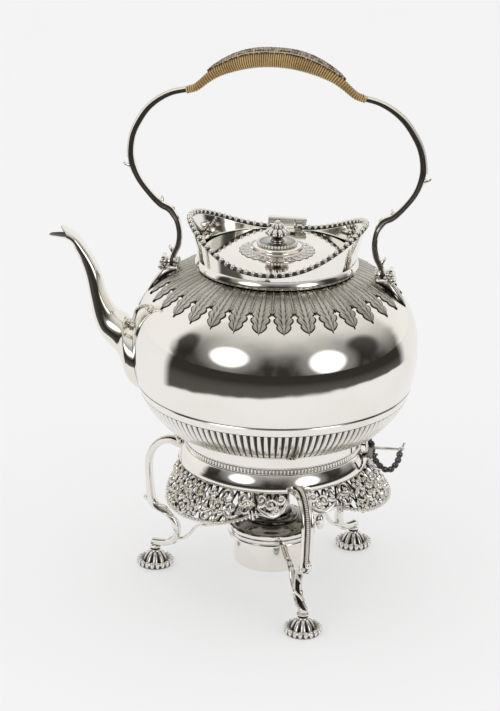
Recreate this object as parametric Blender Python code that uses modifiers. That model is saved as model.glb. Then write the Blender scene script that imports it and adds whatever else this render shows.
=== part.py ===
"""Spirit kettle on its stand, in silver plate, with a cane-wound swing handle.

The kettle tilts on a pin at the spout side of its stand, a second pin on a chain locks it,
its lid is hinged at the back, its handle swings forward and its spirit lamp lifts out.
+X points away from the spout, the camera side is -Y and +Z is up. The origin is the centre
of the bounding box's footprint, on the floor.
"""
import math

import bpy
import bmesh
from mathutils import Matrix, Vector

MM = 0.001
DEGREE = math.pi / 180
FULL_TURN = 2 * math.pi

# Clearances
SEAT_GAP = 0.3 * MM
RUNNING_GAP = 0.45 * MM
CUT_OVERRUN = 4 * MM
MERGE_DISTANCE = 0.002 * MM

# Fineness of the meshes
SMOOTH_ANGLE = 40 * DEGREE
RING_COLUMNS = 36
KNUCKLE_SIDES = 16
PIN_SIDES = 10
BORE_SIDES = 12
PATH_STEPS = 2
ENVELOPE_ROWS = 24
ENVELOPE_COLUMNS = 64

# Kettle body
BODY_RADIUS = 95 * MM
BODY_ROUNDNESS = 2.4
BODY_UPPER_HEIGHT = 59.5 * MM
BODY_LOWER_HEIGHT = 73 * MM
FOOT_INNER_RISE = 2.309 * MM
BODY_WALL = 1.2 * MM
BODY_COLUMNS = 45
BODY_UPPER_SHARES = (0.985, 0.93, 0.82, 0.6, 0.3, 0.0)
BODY_LOWER_SHARES = (0.25,)
BODY_BOWL_SHARES = (0.86, 0.97)
BODY_INNER_SHARES = (-0.93, -0.6, 0.0, 0.7)
MOUTH_RADIUS = 46 * MM
PORT_RADIUS = 8 * MM
PORT_HEIGHT_ABOVE_FOOT = 52 * MM

# Flutes on the lower bowl
FLUTE_TOP_ABOVE_FOOT = 33.3 * MM
FLUTE_LENGTH = 21 * MM
FLUTE_DEPTH = 0.8 * MM
FLUTE_END = 2.4 * MM
FLUTES_PER_COLUMN = 2

# Foot band of the kettle
FOOT_RADIUS = 60 * MM
FOOT_INNER_RADIUS = 56.5 * MM
FOOT_TOP_RADIUS = 70 * MM
FOOT_LIP = 1.2 * MM
FOOT_STEPS = 3

# Neck ring, its collar and the gallery
NECK_RING_RADIUS = 53.6 * MM
NECK_STEP_RADIUS = 52.7 * MM
NECK_STEP_HEIGHT = 2.4 * MM
COLLAR_OUTER_RADIUS = 49.2 * MM
COLLAR_INNER_RADIUS = 47.8 * MM
COLLAR_HEIGHT = 9.4 * MM
GALLERY_BASE_RADIUS = 51.9 * MM
GALLERY_WALL = 1 * MM
GALLERY_HALF_LENGTH = 58.2 * MM
GALLERY_HALF_WIDTH = 53 * MM
GALLERY_ROUNDNESS = 1.82
GALLERY_RIM_HEIGHT = 9.3 * MM
GALLERY_CORNER_RISE = 20.7 * MM
GALLERY_CORNER_SHARPNESS = 2.5
GALLERY_COLUMNS = 36
GALLERY_SHARES = (0.0, 0.5, 1.0)
GALLERY_FLARE_POWER = 1.3
RIM_SAMPLES = 720
BEAD_RADIUS = 1.9 * MM
BEAD_NECK_RADIUS = 1.1 * MM
BEAD_COUNT = 76

# Spout, as pairs of an under point and an upper point
SPOUT_BEYOND_BODY = 58.7 * MM
SPOUT_REACH = BODY_RADIUS + SPOUT_BEYOND_BODY
SPOUT_TIP_ABOVE_FOOT = 131.8 * MM
SPOUT_WALL = 1.2 * MM
SPOUT_HALF_WIDTH = 26 * MM
SPOUT_SIDES = 12
SPOUT_SHARES = (
    ((0.500, 0.165), (0.540, 0.515), 1.00),
    ((0.623, 0.254), (0.641, 0.548), 0.85),
    ((0.686, 0.395), (0.658, 0.590), 0.58),
    ((0.761, 0.482), (0.690, 0.611), 0.44),
    ((0.797, 0.571), (0.712, 0.636), 0.38),
    ((0.817, 0.683), (0.745, 0.706), 0.34),
    ((0.836, 0.797), (0.770, 0.810), 0.31),
    ((0.855, 0.866), (0.791, 0.868), 0.29),
    ((0.882, 0.930), (0.826, 0.935), 0.28),
    ((0.911, 0.982), (0.872, 1.006), 0.27),
    ((1.000, 1.000), (0.9356, 1.056), 0.24),
)
SCROLL_RADIUS = 1.1 * MM
SCROLL_START_ABOVE_FOOT = 78.7 * MM
SCROLL_RISE = 20 * MM
SCROLL_SPREAD = 26 * DEGREE
SCROLL_STEPS = 3
SCROLL_SHARES = ((0.34, 0.0), (0.2, 0.3), (0.42, 0.62), (0.7, 0.88), (0.95, 1.0), (1.04, 0.9))

# Lid
LID_FLANGE_RADIUS = 49.2 * MM
LID_THICKNESS = 1.7 * MM
LID_WALL = 1.2 * MM
LID_SKIRT_GAP = 0.6 * MM
LID_SKIRT_DEPTH = 2.6 * MM
LID_COLUMNS = 28
LID_BOSS_COLUMNS = 20
LID_DRUM_RADIUS = 17.3 * MM
LID_DRUM_HEIGHT = 4.2 * MM
LID_DRUM_COVE = 1.6 * MM
LID_DISC_RADIUS = 13.6 * MM
LID_DISC_HEIGHT = 2.4 * MM
FINIAL_FLOWER_RADIUS = 9 * MM
FINIAL_HEIGHT = 13.6 * MM
FINIAL_SHARES = ((0.0, 1.0), (0.2, 0.94), (0.27, 0.84), (0.2, 0.72), (0.62, 0.66), (1.0, 0.56),
                 (0.9, 0.48), (0.3, 0.4), (0.24, 0.14), (0.55, 0.05), (0.55, 0.0), (0.0, 0.0))
FINIAL_COLUMNS = 12

# Lid hinge
LID_BARREL_RADIUS = 2.65 * MM
LID_BARREL_LENGTH = 26 * MM
LID_KNUCKLE_LENGTH = 10 * MM
LID_PIN_RADIUS = 1 * MM
LID_HINGE_BEHIND_AXIS = 51.5 * MM
LID_LEAF_LENGTH = 13 * MM
LID_LEAF_WIDTH = 22 * MM
LID_LEAF_THICKNESS = 1.6 * MM

# Handle: an arm's centre line from the grip down to its knuckle
HANDLE_PIVOT_SHARE = 0.73684
HANDLE_PIVOT_RADIUS = BODY_RADIUS * HANDLE_PIVOT_SHARE
HANDLE_RISE = 141.2 * MM
HANDLE_LEAN = 3.8 * MM
HANDLE_ARM_THICKNESS = 5 * MM
HANDLE_ARM_WIDTH = 5.6 * MM
HANDLE_ARM_SIDES = 6
HANDLE_ARM_SHARES = (
    (0.598, 0.834, 0.9), (0.705, 0.815, 0.9), (0.794, 0.783, 0.95), (0.873, 0.737, 1.0),
    (0.935, 0.677, 1.0), (0.980, 0.613, 1.0), (1.000, 0.542, 1.0), (0.995, 0.475, 1.15),
    (0.954, 0.401, 1.0), (0.880, 0.332, 1.0), (0.805, 0.282, 1.2), (0.744, 0.260, 1.3),
    (0.712, 0.232, 1.1), (0.689, 0.198, 0.9), (0.676, 0.141, 0.9), (0.688, 0.084, 0.9),
    (0.716, 0.042, 0.9), (0.7315, 0.0, 0.9),
)
HANDLE_HALF_WIDTH = HANDLE_PIVOT_RADIUS / HANDLE_ARM_SHARES[-1][0]
HANDLE_KNUCKLE_RADIUS = 3.8 * MM
HANDLE_KNUCKLE_LENGTH = 6 * MM
HANDLE_PIN_RADIUS = 1.1 * MM
BRACKET_CHEEK = 1.5 * MM
BRACKET_FLOOR = 0.8 * MM
BRACKET_WIDTH = 7 * MM
BRACKET_LEAF_REACH_SHARE = 0.54
BRACKET_LEAF_REACH = (BODY_RADIUS - HANDLE_PIVOT_RADIUS) * BRACKET_LEAF_REACH_SHARE
BRACKET_LEAF_HALF_WIDTH = 5 * MM
BRACKET_LEAF_THICKNESS = 2 * MM
BRACKET_LEAF_SHARES = ((0.0, 0.7, 1.0), (0.35, 1.0, 0.9), (0.7, 0.7, 0.6), (1.0, 0.12, 0.3))

# Grip, its winding and the woven strip along its top
GRIP_END_GAP = 0.52 * MM
GRIP_HALF_LENGTH = HANDLE_HALF_WIDTH * HANDLE_ARM_SHARES[0][0] - GRIP_END_GAP
GRIP_CORE_HALF_HEIGHT = 3.2 * MM
GRIP_CORE_HALF_DEPTH = 4.7 * MM
GRIP_PATH_SHARES = ((0.0, 1.0), (0.22, 0.994), (0.43, 0.972), (0.64, 0.933), (0.78, 0.891),
                    (0.91, 0.8475), (1.0, 0.834))
GRIP_SWELL_SHARES = (1.0, 1.0, 0.93, 0.72, 0.5, 0.55, 0.6)
GRIP_SECTIONS = 17
GRIP_SIDES = 8
GRIP_PATH_STEPS = 8
WINDING_RADIUS = 1.1 * MM
WINDING_HALF_LENGTH_SHARE = 0.95
WINDING_CLEARANCE = 0.5 * MM
WINDING_LOOPS = 24
WINDING_LOOP_POINTS = 12
STRIP_CLEARANCE = 0.6 * MM
STRIP_THICKNESS = 0.8 * MM
STRIP_HALF_ARC = 42 * DEGREE
STRIP_LEFT_SHARE = 0.77
STRIP_RIGHT_SHARE = 0.73
STRIP_SECTIONS = 15
STRIP_POINTS = 4

# Stand ring
RING_BOTTOM_HEIGHT = 92.5 * MM
RING_HEIGHT = 10.5 * MM
RING_LOWER_RADIUS = 62.4 * MM
RING_UPPER_RADIUS = 60.6 * MM
RING_BELLY = 0.9 * MM
RING_INNER_RADIUS = 55 * MM
RING_WALL = 2.2 * MM
MILLED_BAND_HEIGHT = 5 * MM
MILLED_BAND_RADIUS = 60 * MM
MILLED_BAND_INNER_RADIUS = 55.4 * MM

# Legs, braces and feet
LEG_ANGLES = (172.8 * DEGREE, 292.8 * DEGREE, 52.8 * DEGREE)
LEG_SIDE_NAMES = ("spout", "front", "back")
LEG_REACH = 88 * MM
LEG_SHOULDER_RISE = 2.9 * MM
LEG_RISE = RING_BOTTOM_HEIGHT + LEG_SHOULDER_RISE
LEG_THICKNESS = 4.3 * MM
LEG_WIDTH = 8.2 * MM
LEG_SIDES = 6
LEG_SHARES = (
    (0.742, 0.985, 0.95, 1.70), (0.815, 0.998, 1.0, 1.55), (0.895, 0.976, 1.0, 1.2),
    (0.962, 0.912, 1.0, 1.0), (0.998, 0.815, 1.0, 1.0), (0.995, 0.694, 1.0, 1.0),
    (0.985, 0.577, 1.05, 1.0), (0.968, 0.494, 1.25, 1.0), (0.925, 0.458, 1.15, 1.0),
    (0.862, 0.430, 1.0, 0.9), (0.802, 0.376, 1.0, 0.85), (0.768, 0.305, 1.0, 0.85),
    (0.780, 0.228, 1.0, 0.9), (0.838, 0.186, 1.0, 0.9), (0.905, 0.1745, 0.95, 0.85),
    (0.975, 0.1745, 0.95, 0.75),
)
FOOT_CIRCLE_RADIUS = 83.3 * MM
PAD_RADIUS = 12.8 * MM
PAD_LOBES = 20
PAD_LOBE_DEPTH = 0.5 * MM
PAD_SHARES = ((0.34, 1.0), (0.26, 0.76), (0.5, 0.4), (0.66, 0.24), (0.95, 0.3), (1.0, 0.14),
              (0.94, 0.0))
PAD_LOBED_SHARE = 0.8
BRACE_THICKNESS = 2.6 * MM
BRACE_WIDTH = 4.6 * MM
BRACE_SIDES = 6
BRACE_END_GAP = 1.09 * MM
BRACE_LEG_SHARES = (0.78, 0.22537)
BRACE_REACH = LEG_REACH * BRACE_LEG_SHARES[0] - LEG_THICKNESS / 2 - BRACE_END_GAP
BRACE_FOOT_HEIGHT = LEG_RISE * BRACE_LEG_SHARES[1]
BRACE_SHARES = ((1.0, 0.0), (0.9, 0.08), (0.79, 0.28), (0.68, 0.58), (0.57, 0.72), (0.42, 0.75),
                (0.24, 0.86), (0.08, 0.98), (0.0, 1.0))

# Pierced apron between the legs
APRON_TOP_GAP = 0.3 * MM
APRON_TOP_RADIUS = 61 * MM
APRON_DEPTH = 31 * MM
APRON_FLARE = 9.5 * MM
APRON_THICKNESS = 1.4 * MM
APRON_LEG_CLEARANCE = 1.2 * MM
APRON_COLUMNS = 12
APRON_ROWS = 3
APRON_DEPTH_SHARES = (0.34, 0.60, 0.48, 0.82, 0.95, 1.0, 1.02, 1.0, 0.95, 0.82, 0.48, 0.60, 0.34)
APRON_LEAN_SHARES = (0.0, 0.34, -0.3, 0.0)
APRON_BORDER = 1.1 * MM
APRON_PIERCING = (".#.#.##.#.#.", "...##..##...", "....####....")

# Lamp and the ring that carries it
LAMP_RING_RADIUS = 30 * MM
LAMP_RING_HEIGHT = 5 * MM
LAMP_RING_TOP_HEIGHT = 41.7 * MM
LAMP_RING_BORE_GAP = 0.6 * MM
LAMP_COLUMNS = 24
RESERVOIR_RADIUS = 25.7 * MM
RESERVOIR_DEPTH = 25.7 * MM
RESERVOIR_CORNER = 3 * MM
LAMP_WALL = 1 * MM
FLANGE_RADIUS = 30 * MM
FLANGE_THICKNESS = 2 * MM
COVER_RADIUS = 28 * MM
COVER_HEIGHT = 7.6 * MM
COVER_SHARES = ((0.5, 1.0), (0.5, 0.8), (0.62, 0.72), (0.62, 0.5), (0.85, 0.32), (1.0, 0.0))
BURNER_RADIUS = 12 * MM
BURNER_HEIGHT = 20 * MM
BURNER_WALL = 1.1 * MM
WICK_STANDS_PROUD = 1.5 * MM
THUMB_PIECE_RADIUS = 3 * MM
THUMB_PIECE_HEIGHT = 11 * MM
THUMB_PIECE_THICKNESS = 2.2 * MM
THUMB_PIECE_ANGLE = 8 * DEGREE
THUMB_PIECE_COLUMNS = 10
THUMB_PIECE_ROWS = 6

# Tilting hinge at the spout side, and lock at the other side
TILT_AXIS_BELOW_TOP = 4.6 * MM
TILT_KNUCKLE_RADIUS = 2.4 * MM
TILT_KNUCKLE_LENGTH = 6 * MM
TILT_PIN_RADIUS = 1.1 * MM
EAR_THICKNESS = 2 * MM
EAR_DROP = 5.3 * MM
TAB_THICKNESS = 2 * MM
TAB_WIDTH = 6 * MM
TAB_DROP = 7.5 * MM
TAB_LEAN_LENGTH = 7.5 * MM
LOCK_EAR_THICKNESS = 3 * MM
LOCK_EAR_WIDTH = 7 * MM
LOCK_EAR_HEIGHT = 9 * MM
LOCK_PIN_RADIUS = 1.1 * MM
LOCK_PIN_LENGTH = 22 * MM
LOCK_KNOB_RADIUS = 2.2 * MM
LOCK_KNOB_LENGTH = 3 * MM
CHAIN_LINKS = 7
CHAIN_WIRE_RADIUS = 0.55 * MM
CHAIN_LINK_HALF_LENGTH = 3.5 * MM
CHAIN_LINK_HALF_WIDTH = 2.2 * MM
CHAIN_LINK_POINTS = 8
CHAIN_PLAY = 0.6 * MM
CHAIN_STUD_RADIUS = 0.8 * MM
CHAIN_STUD_LENGTH = 3.4 * MM
CHAIN_HANG_ANGLE = 80 * DEGREE
CHAIN_HALVINGS = 40

# Places that follow from the sizes above
STAND_TOP = RING_BOTTOM_HEIGHT + RING_HEIGHT + MILLED_BAND_HEIGHT
FOOT_BOTTOM = STAND_TOP + SEAT_GAP
INNER_DROP_SHARE = (1 - (FOOT_INNER_RADIUS / BODY_RADIUS) ** BODY_ROUNDNESS) ** (1 / BODY_ROUNDNESS)
BODY_CENTRE = FOOT_BOTTOM + FOOT_INNER_RISE + BODY_LOWER_HEIGHT * INNER_DROP_SHARE


def body_radius(height):
    """Radius of the body's outer surface at a height."""
    rise = height - BODY_CENTRE
    half = BODY_UPPER_HEIGHT if rise > 0 else BODY_LOWER_HEIGHT
    return BODY_RADIUS * max(1 - abs(rise / half) ** BODY_ROUNDNESS, 0) ** (1 / BODY_ROUNDNESS)


def body_drop(radius):
    """Share of the half height that the body's surface has at a radius."""
    return max(1 - (radius / BODY_RADIUS) ** BODY_ROUNDNESS, 0) ** (1 / BODY_ROUNDNESS)


def shoulder_height(radius):
    """Height of the body's upper surface at a radius."""
    return BODY_CENTRE + BODY_UPPER_HEIGHT * body_drop(radius)


def bowl_height(radius):
    """Height of the body's lower surface at a radius."""
    return BODY_CENTRE - BODY_LOWER_HEIGHT * body_drop(radius)


NECK_BOTTOM = shoulder_height(NECK_RING_RADIUS) + SEAT_GAP
NECK_STEP_TOP = NECK_BOTTOM + NECK_STEP_HEIGHT
COLLAR_TOP = NECK_BOTTOM + COLLAR_HEIGHT
GALLERY_BOTTOM = NECK_STEP_TOP + SEAT_GAP
RIM_HEIGHT = GALLERY_BOTTOM + GALLERY_RIM_HEIGHT
LID_BOTTOM = COLLAR_TOP + SEAT_GAP
LID_TOP = LID_BOTTOM + LID_THICKNESS
LID_HINGE = Vector((0, LID_HINGE_BEHIND_AXIS,
                    RIM_HEIGHT + BEAD_RADIUS + SEAT_GAP + LID_BARREL_RADIUS))
HANDLE_PIVOT_HEIGHT = (shoulder_height(HANDLE_PIVOT_RADIUS - HANDLE_KNUCKLE_LENGTH / 2
                                       - RUNNING_GAP) + SEAT_GAP + BRACKET_FLOOR
                       + RUNNING_GAP + HANDLE_KNUCKLE_RADIUS)
HANDLE_PIVOT = Vector((0, 0, HANDLE_PIVOT_HEIGHT))
TILT_AXIS_RADIUS = RING_LOWER_RADIUS + SEAT_GAP + TAB_THICKNESS / 2
TILT_AXIS = Vector((-TILT_AXIS_RADIUS, 0, STAND_TOP - TILT_AXIS_BELOW_TOP))
LOCK_AXIS_HEIGHT = TILT_AXIS.z
LAMP_FLANGE_BOTTOM = LAMP_RING_TOP_HEIGHT + SEAT_GAP
LAMP_FLANGE_TOP = LAMP_FLANGE_BOTTOM + FLANGE_THICKNESS


def handle_place(out_share, up_share, side):
    """Place on the handle's centre line, which leans a little towards the spout."""
    return (side * HANDLE_HALF_WIDTH * out_share - HANDLE_LEAN * up_share,
            HANDLE_PIVOT_HEIGHT + HANDLE_RISE * up_share)


HANDLE_REACH = max(handle_place(out, up, 1)[0] + HANDLE_ARM_THICKNESS * swell / 2
                   for out, up, swell in HANDLE_ARM_SHARES)
AXIS_X = (SPOUT_REACH - max(HANDLE_REACH, BODY_RADIUS)) / 2

collections = {}
materials = {}
frames = {}


def clear_scene():
    """Remove every object that the scene holds."""
    for item in list(bpy.data.objects):
        bpy.data.objects.remove(item, do_unlink=True)


def make_collections():
    """One collection for the model and one for the cutters."""
    for name in ("spirit_kettle_on_stand", "cutters"):
        collection = bpy.data.collections.new(name)
        bpy.context.scene.collection.children.link(collection)
        collections[name] = collection


def make_material(name, colour, roughness, metallic):
    """A Principled material."""
    material = bpy.data.materials.new(name)
    material.use_nodes = True
    shader = material.node_tree.nodes["Principled BSDF"]
    shader.inputs["Base Color"].default_value = (*colour, 1)
    shader.inputs["Roughness"].default_value = roughness
    shader.inputs["Metallic"].default_value = metallic
    materials[name] = material


def make_frame(name, place, parent=None):
    """An empty that carries the pieces of one body, on that body's joint axis."""
    empty = bpy.data.objects.new(name + "_frame", None)
    collections["spirit_kettle_on_stand"].objects.link(empty)
    empty.location = place
    if parent:
        empty.parent = frames[parent]
        empty.location = place - world_place(frames[parent])
    frames[name] = empty


def world_place(item):
    """Place of an unrotated item, summed over its parents."""
    place = item.location.copy()
    while item.parent:
        item = item.parent
        place += item.location
    return place


def add_piece(name, mesh, frame, material="silver"):
    """Add a piece whose mesh is written about the kettle's axis, and seat it in its frame."""
    piece = bpy.data.objects.new(name, mesh)
    collections["spirit_kettle_on_stand"].objects.link(piece)
    piece.data.materials.clear()
    piece.data.materials.append(materials[material])
    piece.parent = frames[frame]
    piece.location = world_place(frames["kettle_axis"]) - world_place(frames[frame])
    return piece


def finish_mesh(bm, name):
    """Close a bmesh into a mesh with its faces pointing out."""
    bmesh.ops.remove_doubles(bm, verts=bm.verts[:], dist=MERGE_DISTANCE)
    bmesh.ops.recalc_face_normals(bm, faces=bm.faces[:])
    mesh = bpy.data.meshes.new(name)
    bm.to_mesh(mesh)
    bm.free()
    mesh.shade_smooth()
    mesh.set_sharp_from_angle(angle=SMOOTH_ANGLE)
    return mesh


def turned(name, profile, frame, columns, material="silver", closed=False, centre=(0, 0)):
    """Turn a profile of (radius, height) points about a vertical line."""
    mesh = bpy.data.meshes.new(name)
    edges = [(index, index + 1) for index in range(len(profile) - 1)]
    if closed:
        edges.append((len(profile) - 1, 0))
    mesh.from_pydata([(radius, 0, height) for radius, height in profile], edges, [])
    piece = add_piece(name, mesh, frame, material)
    piece.location += Vector((centre[0], centre[1], 0))
    screw = piece.modifiers.new("Turn", "SCREW")
    screw.steps = columns
    screw.render_steps = columns
    screw.use_merge_vertices = True
    screw.merge_threshold = MERGE_DISTANCE
    screw.use_smooth_shade = True
    return piece


def apply_modifiers(piece):
    """Replace a piece's mesh by its evaluated mesh."""
    mesh = evaluated_mesh(piece)
    piece.modifiers.clear()
    piece.data = mesh
    return piece


def evaluated_mesh(piece):
    """Mesh of a piece as its modifiers or its curve settings shape it."""
    graph = bpy.context.evaluated_depsgraph_get()
    graph.update()
    return bpy.data.meshes.new_from_object(piece.evaluated_get(graph))


def loft(rings, name, cyclic=False):
    """Skin a list of rings of equal count, capped at both ends unless it is cyclic."""
    bm = bmesh.new()
    loops = [[bm.verts.new(point) for point in ring] for ring in rings]
    pairs = list(zip(loops, loops[1:]))
    if cyclic:
        pairs.append((loops[-1], loops[0]))
    for first, second in pairs:
        count = len(first)
        for index in range(count):
            after = (index + 1) % count
            bm.faces.new((first[index], first[after], second[after], second[index]))
    if not cyclic:
        bm.faces.new(loops[0])
        bm.faces.new(loops[-1])
    return finish_mesh(bm, name)


def section(place, across, along, half_across, half_along, sides):
    """An elliptic ring about a place, spanned by two directions."""
    ring = []
    for index in range(sides):
        angle = FULL_TURN * (index + 0.5) / sides
        ring.append(place + across * (half_across * math.cos(angle))
                    + along * (half_along * math.sin(angle)))
    return ring


def smooth_path(points, steps):
    """Catmull-Rom points through a list of tuples, with a number of steps between each two."""
    padded = [points[0], *points, points[-1]]
    result = []
    for index in range(1, len(padded) - 2):
        before, start, end, after = (Vector(padded[index + shift]) for shift in (-1, 0, 1, 2))
        for step in range(steps):
            share = step / steps
            result.append(0.5 * ((2 * start) + (end - before) * share
                                 + (2 * before - 5 * start + 4 * end - after) * share ** 2
                                 + (3 * start - before - 3 * end + after) * share ** 3))
    result.append(Vector(points[-1]))
    return result


def path_normals(path):
    """In-plane normals of a path that lies in a vertical plane, as (out, up) pairs."""
    normals = []
    for index in range(len(path)):
        before = path[max(index - 1, 0)]
        after = path[min(index + 1, len(path) - 1)]
        run = (after[0] - before[0], after[1] - before[1])
        size = math.hypot(*run)
        normals.append((run[1] / size, -run[0] / size))
    return normals


def swept_bar(name, stations, out, side, sides):
    """Sweep an elliptic bar along stations of (out, up, thickness, width) in a vertical plane."""
    up = Vector((0, 0, 1))
    rings = []
    for station, normal in zip(stations, path_normals(stations)):
        place = out * station[0] + up * station[1]
        across = out * normal[0] + up * normal[1]
        rings.append(section(place, across, side, station[2] / 2, station[3] / 2, sides))
    return loft(rings, name)


def cylinder(name, radius, length, place, direction, sides=KNUCKLE_SIDES):
    """A closed cylinder about a direction."""
    bm = bmesh.new()
    turn = Vector(direction).to_track_quat("Z", "Y").to_matrix().to_4x4()
    bmesh.ops.create_cone(bm, cap_ends=True, segments=sides, radius1=radius, radius2=radius,
                          depth=length, matrix=Matrix.Translation(place) @ turn)
    return finish_mesh(bm, name)


def extruded(name, outline, across, up, normal, width, place=Vector((0, 0, 0))):
    """A flat outline of (across, up) points, extruded evenly to both sides of its plane."""
    half = normal * (width / 2)
    rings = [[place + across * a + up * b + half * end for a, b in outline] for end in (-1, 1)]
    return loft(rings, name)


def add_cutter(name, mesh):
    """A hidden object in the cutters' collection."""
    cutter = bpy.data.objects.new(name, mesh)
    collections["cutters"].objects.link(cutter)
    cutter.parent = frames["kettle_axis"]
    cutter.hide_render = True
    cutter.display_type = "WIRE"
    return cutter


def combine(piece, cutter, operation="DIFFERENCE"):
    """Cut a piece by another object, or join that object to it."""
    boolean = piece.modifiers.new(operation.title(), "BOOLEAN")
    boolean.operation = operation
    boolean.object = cutter
    return piece


def body_envelope(name, clearance):
    """A closed solid of the body's outer shape, swollen by a clearance."""
    power = 2 / BODY_ROUNDNESS
    rings = []
    for row in range(1, ENVELOPE_ROWS):
        slope = math.pi * (0.5 - row / ENVELOPE_ROWS)
        radius = (BODY_RADIUS + clearance) * abs(math.cos(slope)) ** power
        half = BODY_UPPER_HEIGHT if slope > 0 else BODY_LOWER_HEIGHT
        rise = (half + clearance) * math.copysign(abs(math.sin(slope)) ** power, slope)
        turns = [FULL_TURN * column / ENVELOPE_COLUMNS for column in range(ENVELOPE_COLUMNS)]
        rings.append([Vector((radius * math.cos(turn), radius * math.sin(turn),
                              BODY_CENTRE + rise)) for turn in turns])
    return add_cutter(name, loft(rings, name))


def build_kettle_body():
    """Hollow body with a fluted lower bowl, a round mouth and a port behind the spout."""
    flute_top = FOOT_BOTTOM + FLUTE_TOP_ABOVE_FOOT
    flute_bottom = flute_top - FLUTE_LENGTH
    flute_rows = [flute_top - FLUTE_END, flute_top - FLUTE_LENGTH / 2, flute_bottom + FLUTE_END]
    heights = [BODY_CENTRE + BODY_UPPER_HEIGHT * share for share in BODY_UPPER_SHARES
               if BODY_CENTRE + BODY_UPPER_HEIGHT * share < shoulder_height(MOUTH_RADIUS)]
    heights += [BODY_CENTRE - BODY_LOWER_HEIGHT * share for share in BODY_LOWER_SHARES]
    heights += [flute_top, *flute_rows, flute_bottom]
    heights += [BODY_CENTRE - BODY_LOWER_HEIGHT * share for share in BODY_BOWL_SHARES]
    outer = [(MOUTH_RADIUS, shoulder_height(MOUTH_RADIUS))]
    outer += [(body_radius(height), height) for height in heights]
    outer.append((0, bowl_height(0)))
    inner = [(0, bowl_height(0) + BODY_WALL)]
    for share in BODY_INNER_SHARES:
        half = BODY_UPPER_HEIGHT if share > 0 else BODY_LOWER_HEIGHT
        inner.append((body_radius(BODY_CENTRE + half * share) - 3 * BODY_WALL / 2,
                      BODY_CENTRE + (half - BODY_WALL) * share))
    inner.append((MOUTH_RADIUS, shoulder_height(MOUTH_RADIUS) - BODY_WALL))
    body = apply_modifiers(turned("kettle_body", inner + outer, "kettle_tilt", BODY_COLUMNS))
    flute_body(body, flute_rows)
    port = Vector((-BODY_RADIUS, 0, FOOT_BOTTOM + PORT_HEIGHT_ABOVE_FOOT))
    cutter = add_cutter("port_cutter", cylinder("port_cutter", PORT_RADIUS, BODY_RADIUS, port,
                                                (1, 0, 0), BORE_SIDES))
    combine(body, cutter)


def flute_body(body, rows):
    """Divide the body's fluted rows and press every second line of points inwards."""
    bm = bmesh.new()
    bm.from_mesh(body.data)
    lines = []
    for edge in bm.edges:
        ends = [vert.co for vert in edge.verts]
        on_row = any(abs(end.z - row) < MERGE_DISTANCE for row in rows for end in ends[:1])
        level = abs(ends[0].z - ends[1].z) < MERGE_DISTANCE
        outside = math.hypot(ends[0].x, ends[0].y) > body_radius(ends[0].z) - BODY_WALL / 2
        if on_row and level and outside:
            lines.append(edge)
    bmesh.ops.subdivide_edges(bm, edges=lines, cuts=2 * FLUTES_PER_COLUMN - 1,
                              use_grid_fill=True)
    pitch = FULL_TURN / (BODY_COLUMNS * FLUTES_PER_COLUMN)
    for vert in bm.verts:
        radius = math.hypot(vert.co.x, vert.co.y)
        if not any(abs(vert.co.z - row) < MERGE_DISTANCE for row in rows):
            continue
        surface = body_radius(vert.co.z)
        if radius < surface - 2 * BODY_WALL / 3 - BODY_RADIUS * (1 - math.cos(pitch)):
            continue
        angle = math.atan2(vert.co.y, vert.co.x)
        line = round(angle / (pitch / 2))
        surface -= FLUTE_DEPTH if line % 2 else 0
        vert.co.x = surface * math.cos(angle)
        vert.co.y = surface * math.sin(angle)
    mesh = finish_mesh(bm, "kettle_body")
    mesh.materials.append(materials["silver"])
    body.data = mesh


def build_foot_band():
    """Plain band under the flutes, on which the kettle stands."""
    top = bowl_height(FOOT_TOP_RADIUS) - FOOT_LIP
    profile = [(FOOT_TOP_RADIUS, top), (FOOT_RADIUS, FOOT_BOTTOM), (FOOT_INNER_RADIUS, FOOT_BOTTOM)]
    for index in range(FOOT_STEPS + 1):
        radius = FOOT_INNER_RADIUS + (FOOT_TOP_RADIUS - FOOT_INNER_RADIUS) * index / FOOT_STEPS
        profile.append((radius, bowl_height(radius) - 2 * SEAT_GAP))
    turned("foot_band", profile, "kettle_tilt", RING_COLUMNS, closed=True)


def build_neck_ring():
    """Stepped moulding on the shoulder, with the collar that holds the lid."""
    under = [(radius, shoulder_height(radius) + 1.5 * SEAT_GAP)
             for radius in (NECK_RING_RADIUS, COLLAR_INNER_RADIUS)]
    profile = [(COLLAR_OUTER_RADIUS, COLLAR_TOP), (COLLAR_OUTER_RADIUS, NECK_STEP_TOP),
               (NECK_STEP_RADIUS, NECK_STEP_TOP),
               (NECK_RING_RADIUS, NECK_STEP_TOP - NECK_STEP_HEIGHT / 2),
               *under, (COLLAR_INNER_RADIUS, COLLAR_TOP)]
    turned("neck_ring", profile, "kettle_tilt", RING_COLUMNS, closed=True)


def rim_point(angle, inset=0):
    """Point of the gallery's rim, which is pinched and raised at both ends."""
    half_length = GALLERY_HALF_LENGTH - inset
    half_width = GALLERY_HALF_WIDTH - inset
    reach = ((abs(math.cos(angle)) / half_length) ** GALLERY_ROUNDNESS
             + (abs(math.sin(angle)) / half_width) ** GALLERY_ROUNDNESS) ** (-1 / GALLERY_ROUNDNESS)
    rise = GALLERY_CORNER_RISE * abs(math.cos(angle)) ** GALLERY_CORNER_SHARPNESS
    return Vector((reach * math.cos(angle), reach * math.sin(angle), RIM_HEIGHT + rise))


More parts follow.
